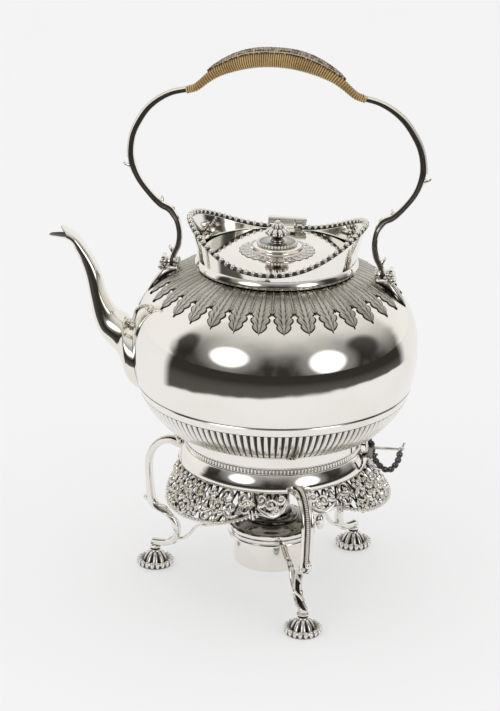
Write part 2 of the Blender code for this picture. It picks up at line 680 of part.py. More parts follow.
def gallery_ring(share, inset):
    """Ring of the gallery's wall at a share of the way from its base to its rim."""
    ring = []
    for column in range(GALLERY_COLUMNS):
        angle = FULL_TURN * column / GALLERY_COLUMNS
        base_radius = GALLERY_BASE_RADIUS - inset
        base = Vector((base_radius * math.cos(angle), base_radius * math.sin(angle), GALLERY_BOTTOM))
        top = rim_point(angle, inset)
        top.z -= BEAD_RADIUS + SEAT_GAP
        point = base.lerp(top, share ** GALLERY_FLARE_POWER)
        point.z = base.z + (top.z - base.z) * share
        ring.append(point)
    return ring


def build_gallery():
    """Flaring gallery round the lid, drawn out and raised at both ends."""
    rings = [gallery_ring(share, 0) for share in GALLERY_SHARES]
    rings += [gallery_ring(share, GALLERY_WALL) for share in reversed(GALLERY_SHARES)]
    add_piece("gallery", loft(rings, "gallery", cyclic=True), "kettle_tilt")


def build_gallery_beads():
    """String of beads along the gallery's rim, as one wire that swells and narrows."""
    rim = [rim_point(FULL_TURN * index / RIM_SAMPLES) for index in range(RIM_SAMPLES + 1)]
    lengths = [0.0]
    for before, after in zip(rim, rim[1:]):
        lengths.append(lengths[-1] + (after - before).length)
    points = []
    place = 0
    for index in range(2 * BEAD_COUNT):
        wanted = lengths[-1] * index / (2 * BEAD_COUNT)
        while lengths[place + 1] < wanted:
            place += 1
        share = (wanted - lengths[place]) / (lengths[place + 1] - lengths[place])
        radius = BEAD_RADIUS if index % 2 == 0 else BEAD_NECK_RADIUS
        points.append((rim[place].lerp(rim[place + 1], share), radius))
    add_wire("gallery_beads", points, "kettle_tilt", cyclic=True)


def add_wire(name, points, frame, material="silver", cyclic=False, resolution=0):
    """A round wire through (place, radius) points, turned into a mesh with welded ends."""
    curve = bpy.data.curves.new(name, "CURVE")
    curve.dimensions = "3D"
    curve.bevel_depth = 1
    curve.bevel_resolution = resolution
    curve.use_fill_caps = True
    spline = curve.splines.new("POLY")
    spline.points.add(len(points) - 1)
    spline.use_cyclic_u = cyclic
    for point, (place, radius) in zip(spline.points, points):
        point.co = (*place, 1)
        point.radius = radius
    wire = add_piece(name, curve, frame, material)
    mesh = evaluated_mesh(wire)
    bpy.data.objects.remove(wire, do_unlink=True)
    bm = bmesh.new()
    bm.from_mesh(mesh)
    return add_piece(name, finish_mesh(bm, name), frame, material)


def build_spout():
    """Hollow swan-neck spout with an open beak, trimmed to the body."""
    up = Vector((0, 0, 1))
    back = Vector((-1, 0, 0))
    outer = []
    inner = []
    side = Vector((0, 1, 0))
    for under, upper, width_share in SPOUT_SHARES:
        low = back * (SPOUT_REACH * under[0]) + up * (FOOT_BOTTOM + SPOUT_TIP_ABOVE_FOOT * under[1])
        high = back * (SPOUT_REACH * upper[0]) + up * (FOOT_BOTTOM
                                                      + SPOUT_TIP_ABOVE_FOOT * upper[1])
        centre = (low + high) / 2
        across = (low - high).normalized()
        half = (low - high).length / 2
        half_width = SPOUT_HALF_WIDTH * width_share
        outer.append(spout_section(centre, across, side, half, half_width))
        inner.append(spout_section(centre, across, side, half - SPOUT_WALL,
                                   half_width - SPOUT_WALL))
    mesh = loft(outer + inner[::-1], "spout", cyclic=True)
    combine(add_piece("spout", mesh, "kettle_tilt"), body_envelope("spout_trim", SEAT_GAP))


def spout_section(centre, across, side, half, half_width):
    """Elliptic ring with a point at its lowest place."""
    ring = []
    for index in range(SPOUT_SIDES):
        angle = FULL_TURN * index / SPOUT_SIDES
        ring.append(centre + across * (half * math.cos(angle)) + side * (half_width * math.sin(angle)))
    return ring


def build_spout_scrolls():
    """Scrolled straps that run up the body from both sides of the spout's root."""
    path = smooth_path(SCROLL_SHARES, SCROLL_STEPS)
    for side, name in ((-1, "front"), (1, "back")):
        points = []
        for spread, rise in path:
            height = FOOT_BOTTOM + SCROLL_START_ABOVE_FOOT + SCROLL_RISE * rise
            radius = body_radius(height) + SCROLL_RADIUS + 2 * SEAT_GAP
            angle = math.pi - side * SCROLL_SPREAD * spread
            points.append((Vector((radius * math.cos(angle), radius * math.sin(angle), height)),
                           SCROLL_RADIUS))
        add_wire("spout_scroll_" + name, points, "kettle_tilt", resolution=1)


def build_lid():
    """Lid plate with a skirt, and the drum, the disc and the finial on it."""
    skirt_outer = COLLAR_INNER_RADIUS - LID_SKIRT_GAP
    skirt_inner = skirt_outer - LID_WALL
    skirt_bottom = LID_BOTTOM - LID_SKIRT_DEPTH
    ceiling = LID_TOP - LID_WALL
    plate = [(0, LID_TOP), (LID_FLANGE_RADIUS - LID_THICKNESS / 2, LID_TOP),
             (LID_FLANGE_RADIUS, LID_TOP - LID_THICKNESS / 2), (LID_FLANGE_RADIUS, LID_BOTTOM),
             (skirt_outer, LID_BOTTOM), (skirt_outer, skirt_bottom), (skirt_inner, skirt_bottom),
             (skirt_inner, ceiling), (0, ceiling)]
    turned("lid_plate", plate, "lid_hinge", LID_COLUMNS)
    drum_bottom = LID_TOP + SEAT_GAP
    drum_top = drum_bottom + LID_DRUM_HEIGHT
    cove = LID_DRUM_RADIUS - LID_DRUM_COVE
    drum = [(0, drum_top), (cove, drum_top), (cove, (drum_top + drum_bottom) / 2),
            (LID_DRUM_RADIUS, drum_bottom), (0, drum_bottom)]
    turned("lid_drum", drum, "lid_hinge", LID_BOSS_COLUMNS)
    disc_bottom = drum_top + SEAT_GAP
    disc_top = disc_bottom + LID_DISC_HEIGHT
    edge = LID_DISC_HEIGHT / 2
    disc = [(0, disc_top), (LID_DISC_RADIUS - edge, disc_top), (LID_DISC_RADIUS, disc_top - edge),
            (LID_DISC_RADIUS - edge, disc_bottom), (0, disc_bottom)]
    turned("lid_disc", disc, "lid_hinge", LID_BOSS_COLUMNS)
    base = disc_top + SEAT_GAP
    finial = [(FINIAL_FLOWER_RADIUS * radius, base + FINIAL_HEIGHT * height)
              for radius, height in FINIAL_SHARES]
    turned("finial", finial, "lid_hinge", FINIAL_COLUMNS)


def build_lid_hinge():
    """Three knuckles on a pin: the middle one is the lid's, on a leaf that slopes to the lid."""
    across = Vector((1, 0, 0))
    depth = Vector((0, 1, 0))
    up = Vector((0, 0, 1))
    pin_length = LID_BARREL_LENGTH
    pin = cylinder("lid_hinge_pin", LID_PIN_RADIUS, pin_length, LID_HINGE, across)
    add_piece("lid_hinge_pin", pin, "kettle_tilt", "brass")
    bore = add_cutter("lid_bore", cylinder("lid_bore", LID_PIN_RADIUS + SEAT_GAP,
                                           pin_length + CUT_OVERRUN, LID_HINGE, across))
    outer_length = (LID_BARREL_LENGTH - LID_KNUCKLE_LENGTH) / 2 - RUNNING_GAP
    for side, name in ((-1, "left"), (1, "right")):
        place = LID_HINGE + across * (side * (LID_KNUCKLE_LENGTH + outer_length
                                              + 2 * RUNNING_GAP) / 2)
        mesh = cylinder("lid_knuckle", LID_BARREL_RADIUS, outer_length, place, across)
        combine(add_piece("gallery_knuckle_" + name, mesh, "kettle_tilt"), bore)
    front = LID_HINGE.y - LID_LEAF_LENGTH
    rear = LID_HINGE.y - LID_BARREL_RADIUS - RUNNING_GAP
    bottom = LID_TOP + SEAT_GAP
    rise = LID_HINGE.z - bottom
    leaf_outline = [(front, bottom), (rear, bottom), (rear, bottom + rise),
                    (rear - LID_LEAF_THICKNESS, bottom + rise),
                    (front, bottom + LID_LEAF_THICKNESS)]
    leaf = add_piece("lid_hinge_leaf", extruded("lid_hinge_leaf", leaf_outline, depth, up, across,
                                                LID_LEAF_WIDTH), "lid_hinge")
    top = LID_HINGE.z + LID_BARREL_RADIUS / 2
    arm_outline = [(rear - LID_LEAF_THICKNESS / 2, bottom + rise / 2),
                   (rear + LID_BARREL_RADIUS, LID_HINGE.z - LID_BARREL_RADIUS / 2),
                   (rear + LID_BARREL_RADIUS, top), (rear - LID_LEAF_THICKNESS / 2, top)]
    arm_width = LID_KNUCKLE_LENGTH - 2 * SEAT_GAP
    arm = add_cutter("lid_hinge_arm", extruded("lid_hinge_arm", arm_outline, depth, up, across,
                                               arm_width))
    knuckle = add_cutter("lid_hinge_knuckle", cylinder("lid_hinge_knuckle", LID_BARREL_RADIUS,
                                                       LID_KNUCKLE_LENGTH, LID_HINGE, across))
    combine(leaf, arm, "UNION")
    combine(leaf, knuckle, "UNION")
    combine(leaf, bore)


def build_handle_arms():
    """Two scrolled arms, each with a knuckle that swings on a pin in its bracket."""
    across = Vector((1, 0, 0))
    for side, name in ((-1, "left"), (1, "right")):
        points = [handle_place(out, up, side) for out, up, _ in HANDLE_ARM_SHARES]
        path = smooth_path(points, PATH_STEPS)
        swells = smooth_path([(swell, 0) for _, _, swell in HANDLE_ARM_SHARES], PATH_STEPS)
        stations = [(place[0], place[1], HANDLE_ARM_THICKNESS * swell[0],
                     HANDLE_ARM_WIDTH * swell[0]) for place, swell in zip(path, swells)]
        arm = add_piece("handle_arm_" + name, swept_bar("handle_arm", stations, across,
                                                        Vector((0, 1, 0)), HANDLE_ARM_SIDES),
                        "handle_swing")
        place = HANDLE_PIVOT + across * (side * HANDLE_PIVOT_RADIUS)
        knuckle = cylinder("handle_knuckle", HANDLE_KNUCKLE_RADIUS, HANDLE_KNUCKLE_LENGTH, place,
                           across)
        combine(arm, add_cutter("handle_knuckle_" + name, knuckle), "UNION")
        bore = cylinder("handle_bore", HANDLE_PIN_RADIUS + SEAT_GAP,
                        HANDLE_KNUCKLE_LENGTH + CUT_OVERRUN, place, across, PIN_SIDES)
        combine(arm, add_cutter("handle_bore_" + name, bore))
        build_handle_bracket(side, name, place)


def build_handle_bracket(side, name, place):
    """Leaf-shaped bracket on the shoulder, with two cheeks that hold the handle's pin."""
    out = Vector((side, 0, 0))
    up = Vector((0, 0, 1))
    inner = HANDLE_PIVOT_RADIUS - HANDLE_KNUCKLE_LENGTH / 2 - RUNNING_GAP
    outer = HANDLE_PIVOT_RADIUS + HANDLE_KNUCKLE_LENGTH / 2 + RUNNING_GAP
    floor = HANDLE_PIVOT_HEIGHT - HANDLE_KNUCKLE_RADIUS - RUNNING_GAP
    top = HANDLE_PIVOT_HEIGHT + HANDLE_KNUCKLE_RADIUS
    clear = 2 * SEAT_GAP
    outline = [(inner - BRACKET_CHEEK, top), (inner, top), (inner, floor), (outer, floor),
               (outer, top), (outer + BRACKET_CHEEK, top),
               (outer + BRACKET_CHEEK, shoulder_height(outer + BRACKET_CHEEK) + clear),
               (HANDLE_PIVOT_RADIUS, shoulder_height(HANDLE_PIVOT_RADIUS) + clear),
               (inner - BRACKET_CHEEK, shoulder_height(inner - BRACKET_CHEEK) + clear)]
    mesh = extruded("handle_bracket", outline, out, up, Vector((0, 1, 0)), BRACKET_WIDTH)
    bracket = add_piece("handle_bracket_" + name, mesh, "kettle_tilt")
    rings = []
    start = outer + BRACKET_CHEEK / 2
    for run, width, thick in BRACKET_LEAF_SHARES:
        radius = start + BRACKET_LEAF_REACH * run
        half = BRACKET_LEAF_HALF_WIDTH * width
        low = shoulder_height(math.hypot(radius, half / 2)) + clear
        high = low + BRACKET_LEAF_THICKNESS * thick
        rings.append([out * radius + up * low + Vector((0, -half, 0)),
                      out * radius + up * low + Vector((0, half, 0)),
                      out * radius + up * high + Vector((0, half / 3, 0)),
                      out * radius + up * high + Vector((0, -half / 3, 0))])
    leaf = add_cutter("bracket_leaf_" + name, loft(rings, "bracket_leaf"))
    combine(bracket, leaf, "UNION")
    pin_length = HANDLE_KNUCKLE_LENGTH + 2 * RUNNING_GAP + 2 * BRACKET_CHEEK
    bore = cylinder("bracket_bore", HANDLE_PIN_RADIUS + SEAT_GAP, pin_length + CUT_OVERRUN, place,
                    Vector((1, 0, 0)), PIN_SIDES)
    combine(bracket, add_cutter("bracket_bore_" + name, bore))
    pin = cylinder("handle_pin", HANDLE_PIN_RADIUS, pin_length, place, Vector((1, 0, 0)),
                   PIN_SIDES)
    add_piece("handle_pin_" + name, pin, "kettle_tilt", "brass")


def grip_shape():
    """Places and swell shares along the grip, from its left end to its right end."""
    half = [(share, rise, swell) for (share, rise), swell in zip(GRIP_PATH_SHARES,
                                                                 GRIP_SWELL_SHARES)]
    whole = [(-share, rise, swell) for share, rise, swell in reversed(half)] + half[1:]
    fine = smooth_path(whole, GRIP_PATH_STEPS)
    return [(Vector((GRIP_HALF_LENGTH * share - HANDLE_LEAN * rise, 0,
                     HANDLE_PIVOT_HEIGHT + HANDLE_RISE * rise)), swell, share)
            for share, rise, swell in fine]


def grip_at(shape, share):
    """Place, direction and swell of the grip at a share of its half length."""
    for before, after in zip(shape, shape[1:]):
        if after[2] >= share:
            break
    part = min(max((share - before[2]) / (after[2] - before[2]), 0), 1)
    heading = (after[0] - before[0]).normalized()
    return before[0].lerp(after[0], part), heading, before[1] + (after[1] - before[1]) * part


def grip_half_sizes(swell, outset=0):
    """Half height and half depth of the grip's section, outset from its core."""
    return GRIP_CORE_HALF_HEIGHT * swell + outset, GRIP_CORE_HALF_DEPTH * swell + outset


def build_grip_core():
    """Metal core of the grip, seated between the two arms."""
    shape = grip_shape()
    depth = Vector((0, 1, 0))
    end_share = 1 - SEAT_GAP / GRIP_HALF_LENGTH
    rings = []
    for index in range(GRIP_SECTIONS):
        share = end_share * (2 * index / (GRIP_SECTIONS - 1) - 1)
        place, heading, swell = grip_at(shape, share)
        high, deep = grip_half_sizes(swell)
        rings.append(section(place, depth.cross(heading), depth, high, deep, GRIP_SIDES))
    add_piece("grip_core", loft(rings, "grip_core"), "handle_swing")


def build_grip_winding():
    """Cane wound round the core as one unbroken tube."""
    shape = grip_shape()
    depth = Vector((0, 1, 0))
    count = WINDING_LOOPS * WINDING_LOOP_POINTS
    points = []
    for index in range(count + 1):
        share = WINDING_HALF_LENGTH_SHARE * (2 * index / count - 1)
        angle = FULL_TURN * index / WINDING_LOOP_POINTS
        place, heading, swell = grip_at(shape, share)
        high, deep = grip_half_sizes(swell, WINDING_RADIUS + WINDING_CLEARANCE)
        points.append((place + depth.cross(heading) * (high * math.cos(angle))
                       + depth * (deep * math.sin(angle)), WINDING_RADIUS))
    add_wire("grip_winding", points, "handle_swing", "cane")
    print_winding_gap([place for place, _ in points])


def print_winding_gap(places):
    """Print the least gap between the winding's neighbouring loops."""
    apart = WINDING_LOOP_POINTS // 2
    gap = min((places[far] - places[near]).length
              for near in range(len(places) - apart)
              for far in range(near + apart, min(near + 2 * WINDING_LOOP_POINTS, len(places))))
    print("least gap of the winding to itself:", round((gap - 2 * WINDING_RADIUS) / MM, 2), "mm")


def build_grip_strip():
    """Woven strip that lies along the top of the winding."""
    shape = grip_shape()
    depth = Vector((0, 1, 0))
    under = WINDING_CLEARANCE + 2 * WINDING_RADIUS + STRIP_CLEARANCE
    rings = []
    for index in range(STRIP_SECTIONS):
        along = index / (STRIP_SECTIONS - 1)
        share = -STRIP_LEFT_SHARE + (STRIP_LEFT_SHARE + STRIP_RIGHT_SHARE) * along
        place, heading, swell = grip_at(shape, share)
        up = heading.cross(depth)
        ring = []
        for outset, turn in ((under + STRIP_THICKNESS, 1), (under, -1)):
            high, deep = grip_half_sizes(swell, outset)
            for step in range(STRIP_POINTS):
                angle = turn * STRIP_HALF_ARC * (2 * step / (STRIP_POINTS - 1) - 1)
                ring.append(place + up * (high * math.cos(angle)) + depth * (deep * math.sin(angle)))
        rings.append(ring)
    add_piece("grip_strip", loft(rings, "grip_strip"), "handle_swing", "dark_cane")


def build_stand_ring():
    """Convex ring that carries the kettle, with the milled band on top of it."""
    ring_top = RING_BOTTOM_HEIGHT + RING_HEIGHT
    belly = (RING_UPPER_RADIUS + RING_LOWER_RADIUS) / 2 + RING_BELLY
    shelf = ring_top - RING_WALL
    ring = [(RING_UPPER_RADIUS, ring_top), (belly, RING_BOTTOM_HEIGHT + RING_HEIGHT / 2),
            (RING_LOWER_RADIUS, RING_BOTTOM_HEIGHT),
            (RING_LOWER_RADIUS - RING_WALL, RING_BOTTOM_HEIGHT),
            (RING_UPPER_RADIUS - RING_WALL, shelf), (RING_INNER_RADIUS, shelf),
            (RING_INNER_RADIUS, ring_top)]
    turned("stand_ring", ring, "stand", RING_COLUMNS, closed=True)
    bottom = ring_top + SEAT_GAP
    band = [(MILLED_BAND_RADIUS, STAND_TOP), (MILLED_BAND_RADIUS, bottom),
            (MILLED_BAND_INNER_RADIUS, bottom), (MILLED_BAND_INNER_RADIUS, STAND_TOP)]
    turned("milled_band", band, "stand", RING_COLUMNS, closed=True)


def leg_foot():
    """Height of the underside of a leg's end, where its pad begins."""
    _, rise, thick, _ = LEG_SHARES[-1]
    return LEG_RISE * rise - LEG_THICKNESS * thick / 2


def build_legs():
    """Three scrolled legs, each with a brace to the lamp ring and a lobed pad."""
    up = Vector((0, 0, 1))
    ring_surface = RING_LOWER_RADIUS + SEAT_GAP
    for angle, name in zip(LEG_ANGLES, LEG_SIDE_NAMES):
        out = Vector((math.cos(angle), math.sin(angle), 0))
        side = up.cross(out)
        stations = [(LEG_REACH * reach, LEG_RISE * rise, LEG_THICKNESS * thick, LEG_WIDTH * wide)
                    for reach, rise, thick, wide in LEG_SHARES]
        stations.insert(0, (ring_surface, *stations[0][1:]))
        fine = [tuple(point) for point in smooth_path(stations, PATH_STEPS)]
        add_piece("leg_" + name, swept_bar("leg", fine, out, side, LEG_SIDES), "stand")
        ring_side = LAMP_RING_RADIUS + SEAT_GAP
        middle = LAMP_RING_TOP_HEIGHT - LAMP_RING_HEIGHT / 2
        stations = [(ring_side + (BRACE_REACH - ring_side) * reach,
                     BRACE_FOOT_HEIGHT + (middle - BRACE_FOOT_HEIGHT) * rise, BRACE_THICKNESS, BRACE_WIDTH)
                    for reach, rise in BRACE_SHARES]
        fine = [tuple(point) for point in smooth_path(stations, PATH_STEPS)]
        add_piece("brace_" + name, swept_bar("brace", fine, out, side, BRACE_SIDES), "stand")
        build_pad("pad_" + name, out * FOOT_CIRCLE_RADIUS)


def build_pad(name, place):
    """Dished pad with a lobed rim and a collar, under the end of a leg."""
    height = leg_foot() - SEAT_GAP
    columns = 2 * PAD_LOBES
    rings = []
    for radius_share, height_share in PAD_SHARES:
        lobed = radius_share >= PAD_LOBED_SHARE
        ring = []
        for column in range(columns):
            angle = FULL_TURN * column / columns
            radius = PAD_RADIUS * radius_share - (PAD_LOBE_DEPTH if lobed and column % 2 else 0)
            ring.append(place + Vector((radius * math.cos(angle), radius * math.sin(angle),
                                        height * height_share)))
        rings.append(ring)
    add_piece(name, loft(rings, name), "stand")


def build_apron():
    """Three flared panels under the ring, lobed at their edge and pierced between scrolls."""
    top = RING_BOTTOM_HEIGHT - APRON_TOP_GAP
    for index, start in enumerate(LEG_ANGLES):
        margin = (LEG_WIDTH / 2 + APRON_LEG_CLEARANCE) / APRON_TOP_RADIUS
        span = FULL_TURN / len(LEG_ANGLES) - 2 * margin
        bm = bmesh.new()
        grid = []
        for row in range(APRON_ROWS + 1):
            line = []
            for column, depth_share in enumerate(APRON_DEPTH_SHARES):
                fall = APRON_DEPTH * depth_share * row / APRON_ROWS
                lean = APRON_LEAN_SHARES[row] if 0 < column < APRON_COLUMNS else 0
                angle = start + margin + span * (column + lean) / APRON_COLUMNS
                radius = APRON_TOP_RADIUS + APRON_FLARE * fall / APRON_DEPTH
                line.append(bm.verts.new((radius * math.cos(angle), radius * math.sin(angle),
                                          top - fall)))
            grid.append(line)
        cells = {}
        for row in range(APRON_ROWS):
            for column in range(APRON_COLUMNS):
                cells[column, row] = bm.faces.new((grid[row][column], grid[row][column + 1],
                                                   grid[row + 1][column + 1],
                                                   grid[row + 1][column]))
        bm.normal_update()
        pierced = [face for (column, row), face in cells.items()
                   if APRON_PIERCING[row][column] == "#"]
        bmesh.ops.inset_individual(bm, faces=pierced, thickness=APRON_BORDER,
                                   use_even_offset=True)
        bmesh.ops.delete(bm, geom=pierced, context="FACES")
        mesh = bpy.data.meshes.new("apron_panel")
        bm.to_mesh(mesh)
        bm.free()
        panel = add_piece("apron_panel_" + str(index + 1), mesh, "stand")
        shell = panel.modifiers.new("Wall", "SOLIDIFY")
        shell.thickness = APRON_THICKNESS
        shell.offset = 0


def build_lamp():
    """Spirit lamp: reservoir, flange, stepped cover, burner tube, wick and thumb-piece."""
    bore = RESERVOIR_RADIUS + LAMP_RING_BORE_GAP
    ring_bottom = LAMP_RING_TOP_HEIGHT - LAMP_RING_HEIGHT
    ring = [(LAMP_RING_RADIUS, LAMP_RING_TOP_HEIGHT), (LAMP_RING_RADIUS, ring_bottom),
            (bore, ring_bottom), (bore, LAMP_RING_TOP_HEIGHT)]
    turned("lamp_ring", ring, "stand", LAMP_COLUMNS, closed=True)
    top = LAMP_FLANGE_BOTTOM - SEAT_GAP
    bottom = top - RESERVOIR_DEPTH
    inner = RESERVOIR_RADIUS - LAMP_WALL
    corner = RESERVOIR_CORNER
    reservoir = [(0, bottom + LAMP_WALL), (inner - corner, bottom + LAMP_WALL),
                 (inner, bottom + LAMP_WALL + corner), (inner, top), (RESERVOIR_RADIUS, top),
                 (RESERVOIR_RADIUS, bottom + corner),
                 (RESERVOIR_RADIUS - corner / 4, bottom + corner / 4),
                 (RESERVOIR_RADIUS - corner, bottom), (0, bottom)]
    turned("lamp_reservoir", reservoir, "lamp_lift", LAMP_COLUMNS)
    tube_inner = BURNER_RADIUS - BURNER_WALL
    flange = [(FLANGE_RADIUS, LAMP_FLANGE_TOP), (FLANGE_RADIUS, LAMP_FLANGE_BOTTOM),
              (tube_inner, LAMP_FLANGE_BOTTOM), (tube_inner, LAMP_FLANGE_TOP)]
    turned("lamp_flange", flange, "lamp_lift", LAMP_COLUMNS, closed=True)
    seat = LAMP_FLANGE_TOP + SEAT_GAP
    sleeve = BURNER_RADIUS + SEAT_GAP
    cover = [(COVER_RADIUS * radius, seat + COVER_HEIGHT * height)
             for radius, height in COVER_SHARES]
    cover += [(sleeve, seat), (sleeve, seat + COVER_HEIGHT)]
    turned("lamp_cover", cover, "lamp_lift", LAMP_COLUMNS, "dark_silver", closed=True)
    burner = [(BURNER_RADIUS, seat + BURNER_HEIGHT), (BURNER_RADIUS, seat), (tube_inner, seat),
              (tube_inner, seat + BURNER_HEIGHT)]
    turned("burner_tube", burner, "lamp_lift", KNUCKLE_SIDES, "brass", closed=True)
    wick_radius = tube_inner - 2 * SEAT_GAP
    wick_top = seat + BURNER_HEIGHT + WICK_STANDS_PROUD
    wick_bottom = bottom + LAMP_WALL + SEAT_GAP
    wick = [(0, wick_top), (wick_radius, wick_top), (wick_radius, wick_bottom), (0, wick_bottom)]
    turned("wick", wick, "lamp_lift", KNUCKLE_SIDES, "cotton")
    bm = bmesh.new()
    bmesh.ops.create_uvsphere(bm, u_segments=THUMB_PIECE_COLUMNS,
                              v_segments=THUMB_PIECE_ROWS, radius=1)
    reach = FLANGE_RADIUS + SEAT_GAP + THUMB_PIECE_RADIUS
    place = Vector((reach * math.cos(THUMB_PIECE_ANGLE), reach * math.sin(THUMB_PIECE_ANGLE),
                    (LAMP_FLANGE_TOP + LAMP_FLANGE_BOTTOM) / 2))
    for vert in bm.verts:
        stretched = Vector((vert.co.x * THUMB_PIECE_RADIUS, vert.co.y * THUMB_PIECE_THICKNESS,
                            vert.co.z * THUMB_PIECE_HEIGHT / 2))
        stretched.rotate(Matrix.Rotation(THUMB_PIECE_ANGLE, 3, "Z"))
        vert.co = place + stretched
    add_piece("lamp_thumb_piece", finish_mesh(bm, "lamp_thumb_piece"), "lamp_lift")


def tab_outline(bottom):
    """Outline of a kettle tab: a plate beside the ring that leans up along the foot band."""
    top = Vector((FOOT_TOP_RADIUS, bowl_height(FOOT_TOP_RADIUS) - FOOT_LIP))
    low = Vector((FOOT_RADIUS, FOOT_BOTTOM))
    along = (top - low).normalized()
    outward = Vector((along.y, -along.x))
    inner = RING_LOWER_RADIUS + SEAT_GAP

    def lean(offset, reach):
        """Point of the line beside the foot band that has a given reach."""
        start = low + outward * offset
        return start + along * ((reach - start.x) / along.x)

    start = lean(2 * SEAT_GAP, inner)
    end = start + along * TAB_LEAN_LENGTH
    knee = lean(2 * SEAT_GAP + TAB_THICKNESS, inner + TAB_THICKNESS)
    return [(inner, bottom), tuple(start), tuple(end), tuple(end + outward * TAB_THICKNESS),
            tuple(knee), (inner + TAB_THICKNESS, bottom)]


def build_tilt_hinge():
    """Hinge at the spout side, on which the kettle tips forward to pour."""
    out = Vector((-1, 0, 0))
    up = Vector((0, 0, 1))
    side = Vector((0, 1, 0))
    pin_length = TILT_KNUCKLE_LENGTH + 2 * RUNNING_GAP + 2 * EAR_THICKNESS
    bore = add_cutter("tilt_bore", cylinder("tilt_bore", TILT_PIN_RADIUS + SEAT_GAP,
                                            pin_length + CUT_OVERRUN, TILT_AXIS, side,
                                            BORE_SIDES))
    tab = add_piece("tilt_tab", extruded("tilt_tab", tab_outline(TILT_AXIS.z), out, up, side,
                                         TILT_KNUCKLE_LENGTH), "kettle_tilt")
    knuckle = cylinder("tilt_knuckle", TILT_KNUCKLE_RADIUS, TILT_KNUCKLE_LENGTH - 2 * SEAT_GAP,
                       TILT_AXIS, side)
    combine(tab, add_cutter("tilt_knuckle", knuckle), "UNION")
    combine(tab, bore)
    inner = RING_LOWER_RADIUS + SEAT_GAP
    ear_outline = [(inner, TILT_AXIS.z - EAR_DROP),
                   (TILT_AXIS_RADIUS + TILT_KNUCKLE_RADIUS / 2, TILT_AXIS.z - EAR_DROP),
                   (TILT_AXIS_RADIUS + TILT_KNUCKLE_RADIUS, TILT_AXIS.z),
                   (TILT_AXIS_RADIUS + TILT_KNUCKLE_RADIUS / 2, TILT_AXIS.z + TILT_KNUCKLE_RADIUS),
                   (inner, TILT_AXIS.z + TILT_KNUCKLE_RADIUS)]
    for sign, name in ((-1, "front"), (1, "back")):
        place = side * (sign * (TILT_KNUCKLE_LENGTH / 2 + RUNNING_GAP + EAR_THICKNESS / 2))
        ear = add_piece("tilt_ear_" + name, extruded("tilt_ear", ear_outline, out, up, side,
                                                     EAR_THICKNESS, place), "stand")
        combine(ear, bore)
    add_piece("tilt_pin", cylinder("tilt_pin", TILT_PIN_RADIUS, pin_length, TILT_AXIS, side,
                                   BORE_SIDES), "stand", "brass")


def build_lock():
    """Lock opposite the hinge: the kettle's tab, the stand's ear and the pin that slides in it."""
    out = Vector((1, 0, 0))
    up = Vector((0, 0, 1))
    side = Vector((0, 1, 0))
    tab_bottom = STAND_TOP - TAB_DROP
    add_piece("lock_tab", extruded("lock_tab", tab_outline(tab_bottom), out, up, side, TAB_WIDTH),
              "kettle_tilt")
    inner = RING_LOWER_RADIUS + SEAT_GAP
    ear_inner = inner + TAB_THICKNESS + RUNNING_GAP
    ear_outer = ear_inner + LOCK_EAR_THICKNESS
    shelf = tab_bottom - RUNNING_GAP
    bottom = shelf - LOCK_EAR_THICKNESS
    top = bottom + LOCK_EAR_HEIGHT
    outline = [(inner, bottom), (ear_outer, bottom), (ear_outer, top), (ear_inner, top),
               (ear_inner, shelf), (inner, shelf)]
    ear = add_piece("lock_ear", extruded("lock_ear", outline, out, up, side, LOCK_EAR_WIDTH),
                    "stand")
    axis = Vector((ear_outer, 0, LOCK_AXIS_HEIGHT))
    combine(ear, add_cutter("lock_bore", cylinder("lock_bore", LOCK_PIN_RADIUS + SEAT_GAP,
                                                  2 * LOCK_EAR_THICKNESS, axis, out,
                                                  BORE_SIDES)))
    stud_length = CHAIN_STUD_LENGTH + LOCK_EAR_THICKNESS / 2
    stud_place = Vector((ear_outer + CHAIN_STUD_LENGTH / 2 - LOCK_EAR_THICKNESS / 4, 0,
                         (bottom + shelf) / 2))
    combine(ear, add_cutter("chain_stud", cylinder("chain_stud", CHAIN_STUD_RADIUS, stud_length,
                                                   stud_place, out, PIN_SIDES)), "UNION")
    tip = ear_inner - RUNNING_GAP + SEAT_GAP
    shaft_middle = Vector((tip + LOCK_PIN_LENGTH / 2, 0, LOCK_AXIS_HEIGHT))
    pin = add_piece("lock_pin", cylinder("lock_pin", LOCK_PIN_RADIUS, LOCK_PIN_LENGTH,
                                         shaft_middle, out, BORE_SIDES), "lock_pin")
    knob_place = Vector((tip + LOCK_PIN_LENGTH, 0, LOCK_AXIS_HEIGHT))
    combine(pin, add_cutter("lock_knob", cylinder("lock_knob", LOCK_KNOB_RADIUS, LOCK_KNOB_LENGTH,
                                                  knob_place, out, BORE_SIDES)), "UNION")
    stud = Vector((ear_outer + CHAIN_STUD_LENGTH / 2, 0, stud_place.z))
    hold = knob_place - out * (LOCK_KNOB_LENGTH / 2 + CHAIN_WIRE_RADIUS + 2 * SEAT_GAP)
    build_chain(stud, hold)


def build_chain(start, end):
    """Interlinked chain that hangs from the ear's stud to the pin."""
    inside = CHAIN_LINK_HALF_LENGTH - CHAIN_WIRE_RADIUS
    pitch = 2 * inside - CHAIN_PLAY
    lengths = [pitch] * CHAIN_LINKS
    lengths[0] = pitch / 2 + inside - CHAIN_STUD_RADIUS - SEAT_GAP
    lengths[-1] = pitch / 2 + inside - LOCK_PIN_RADIUS - SEAT_GAP
    joints = hanging_joints(start, end, lengths)
    side = Vector((0, 1, 0))
    for index in range(CHAIN_LINKS):
        near, far = joints[index], joints[index + 1]
        heading = (far - near).normalized()
        if index == 0:
            middle = far - heading * (pitch / 2)
        else:
            middle = near + heading * (pitch / 2)
        across = side if index % 2 == 0 else heading.cross(side)
        add_link("chain_link_" + str(index + 1), middle, heading, across)


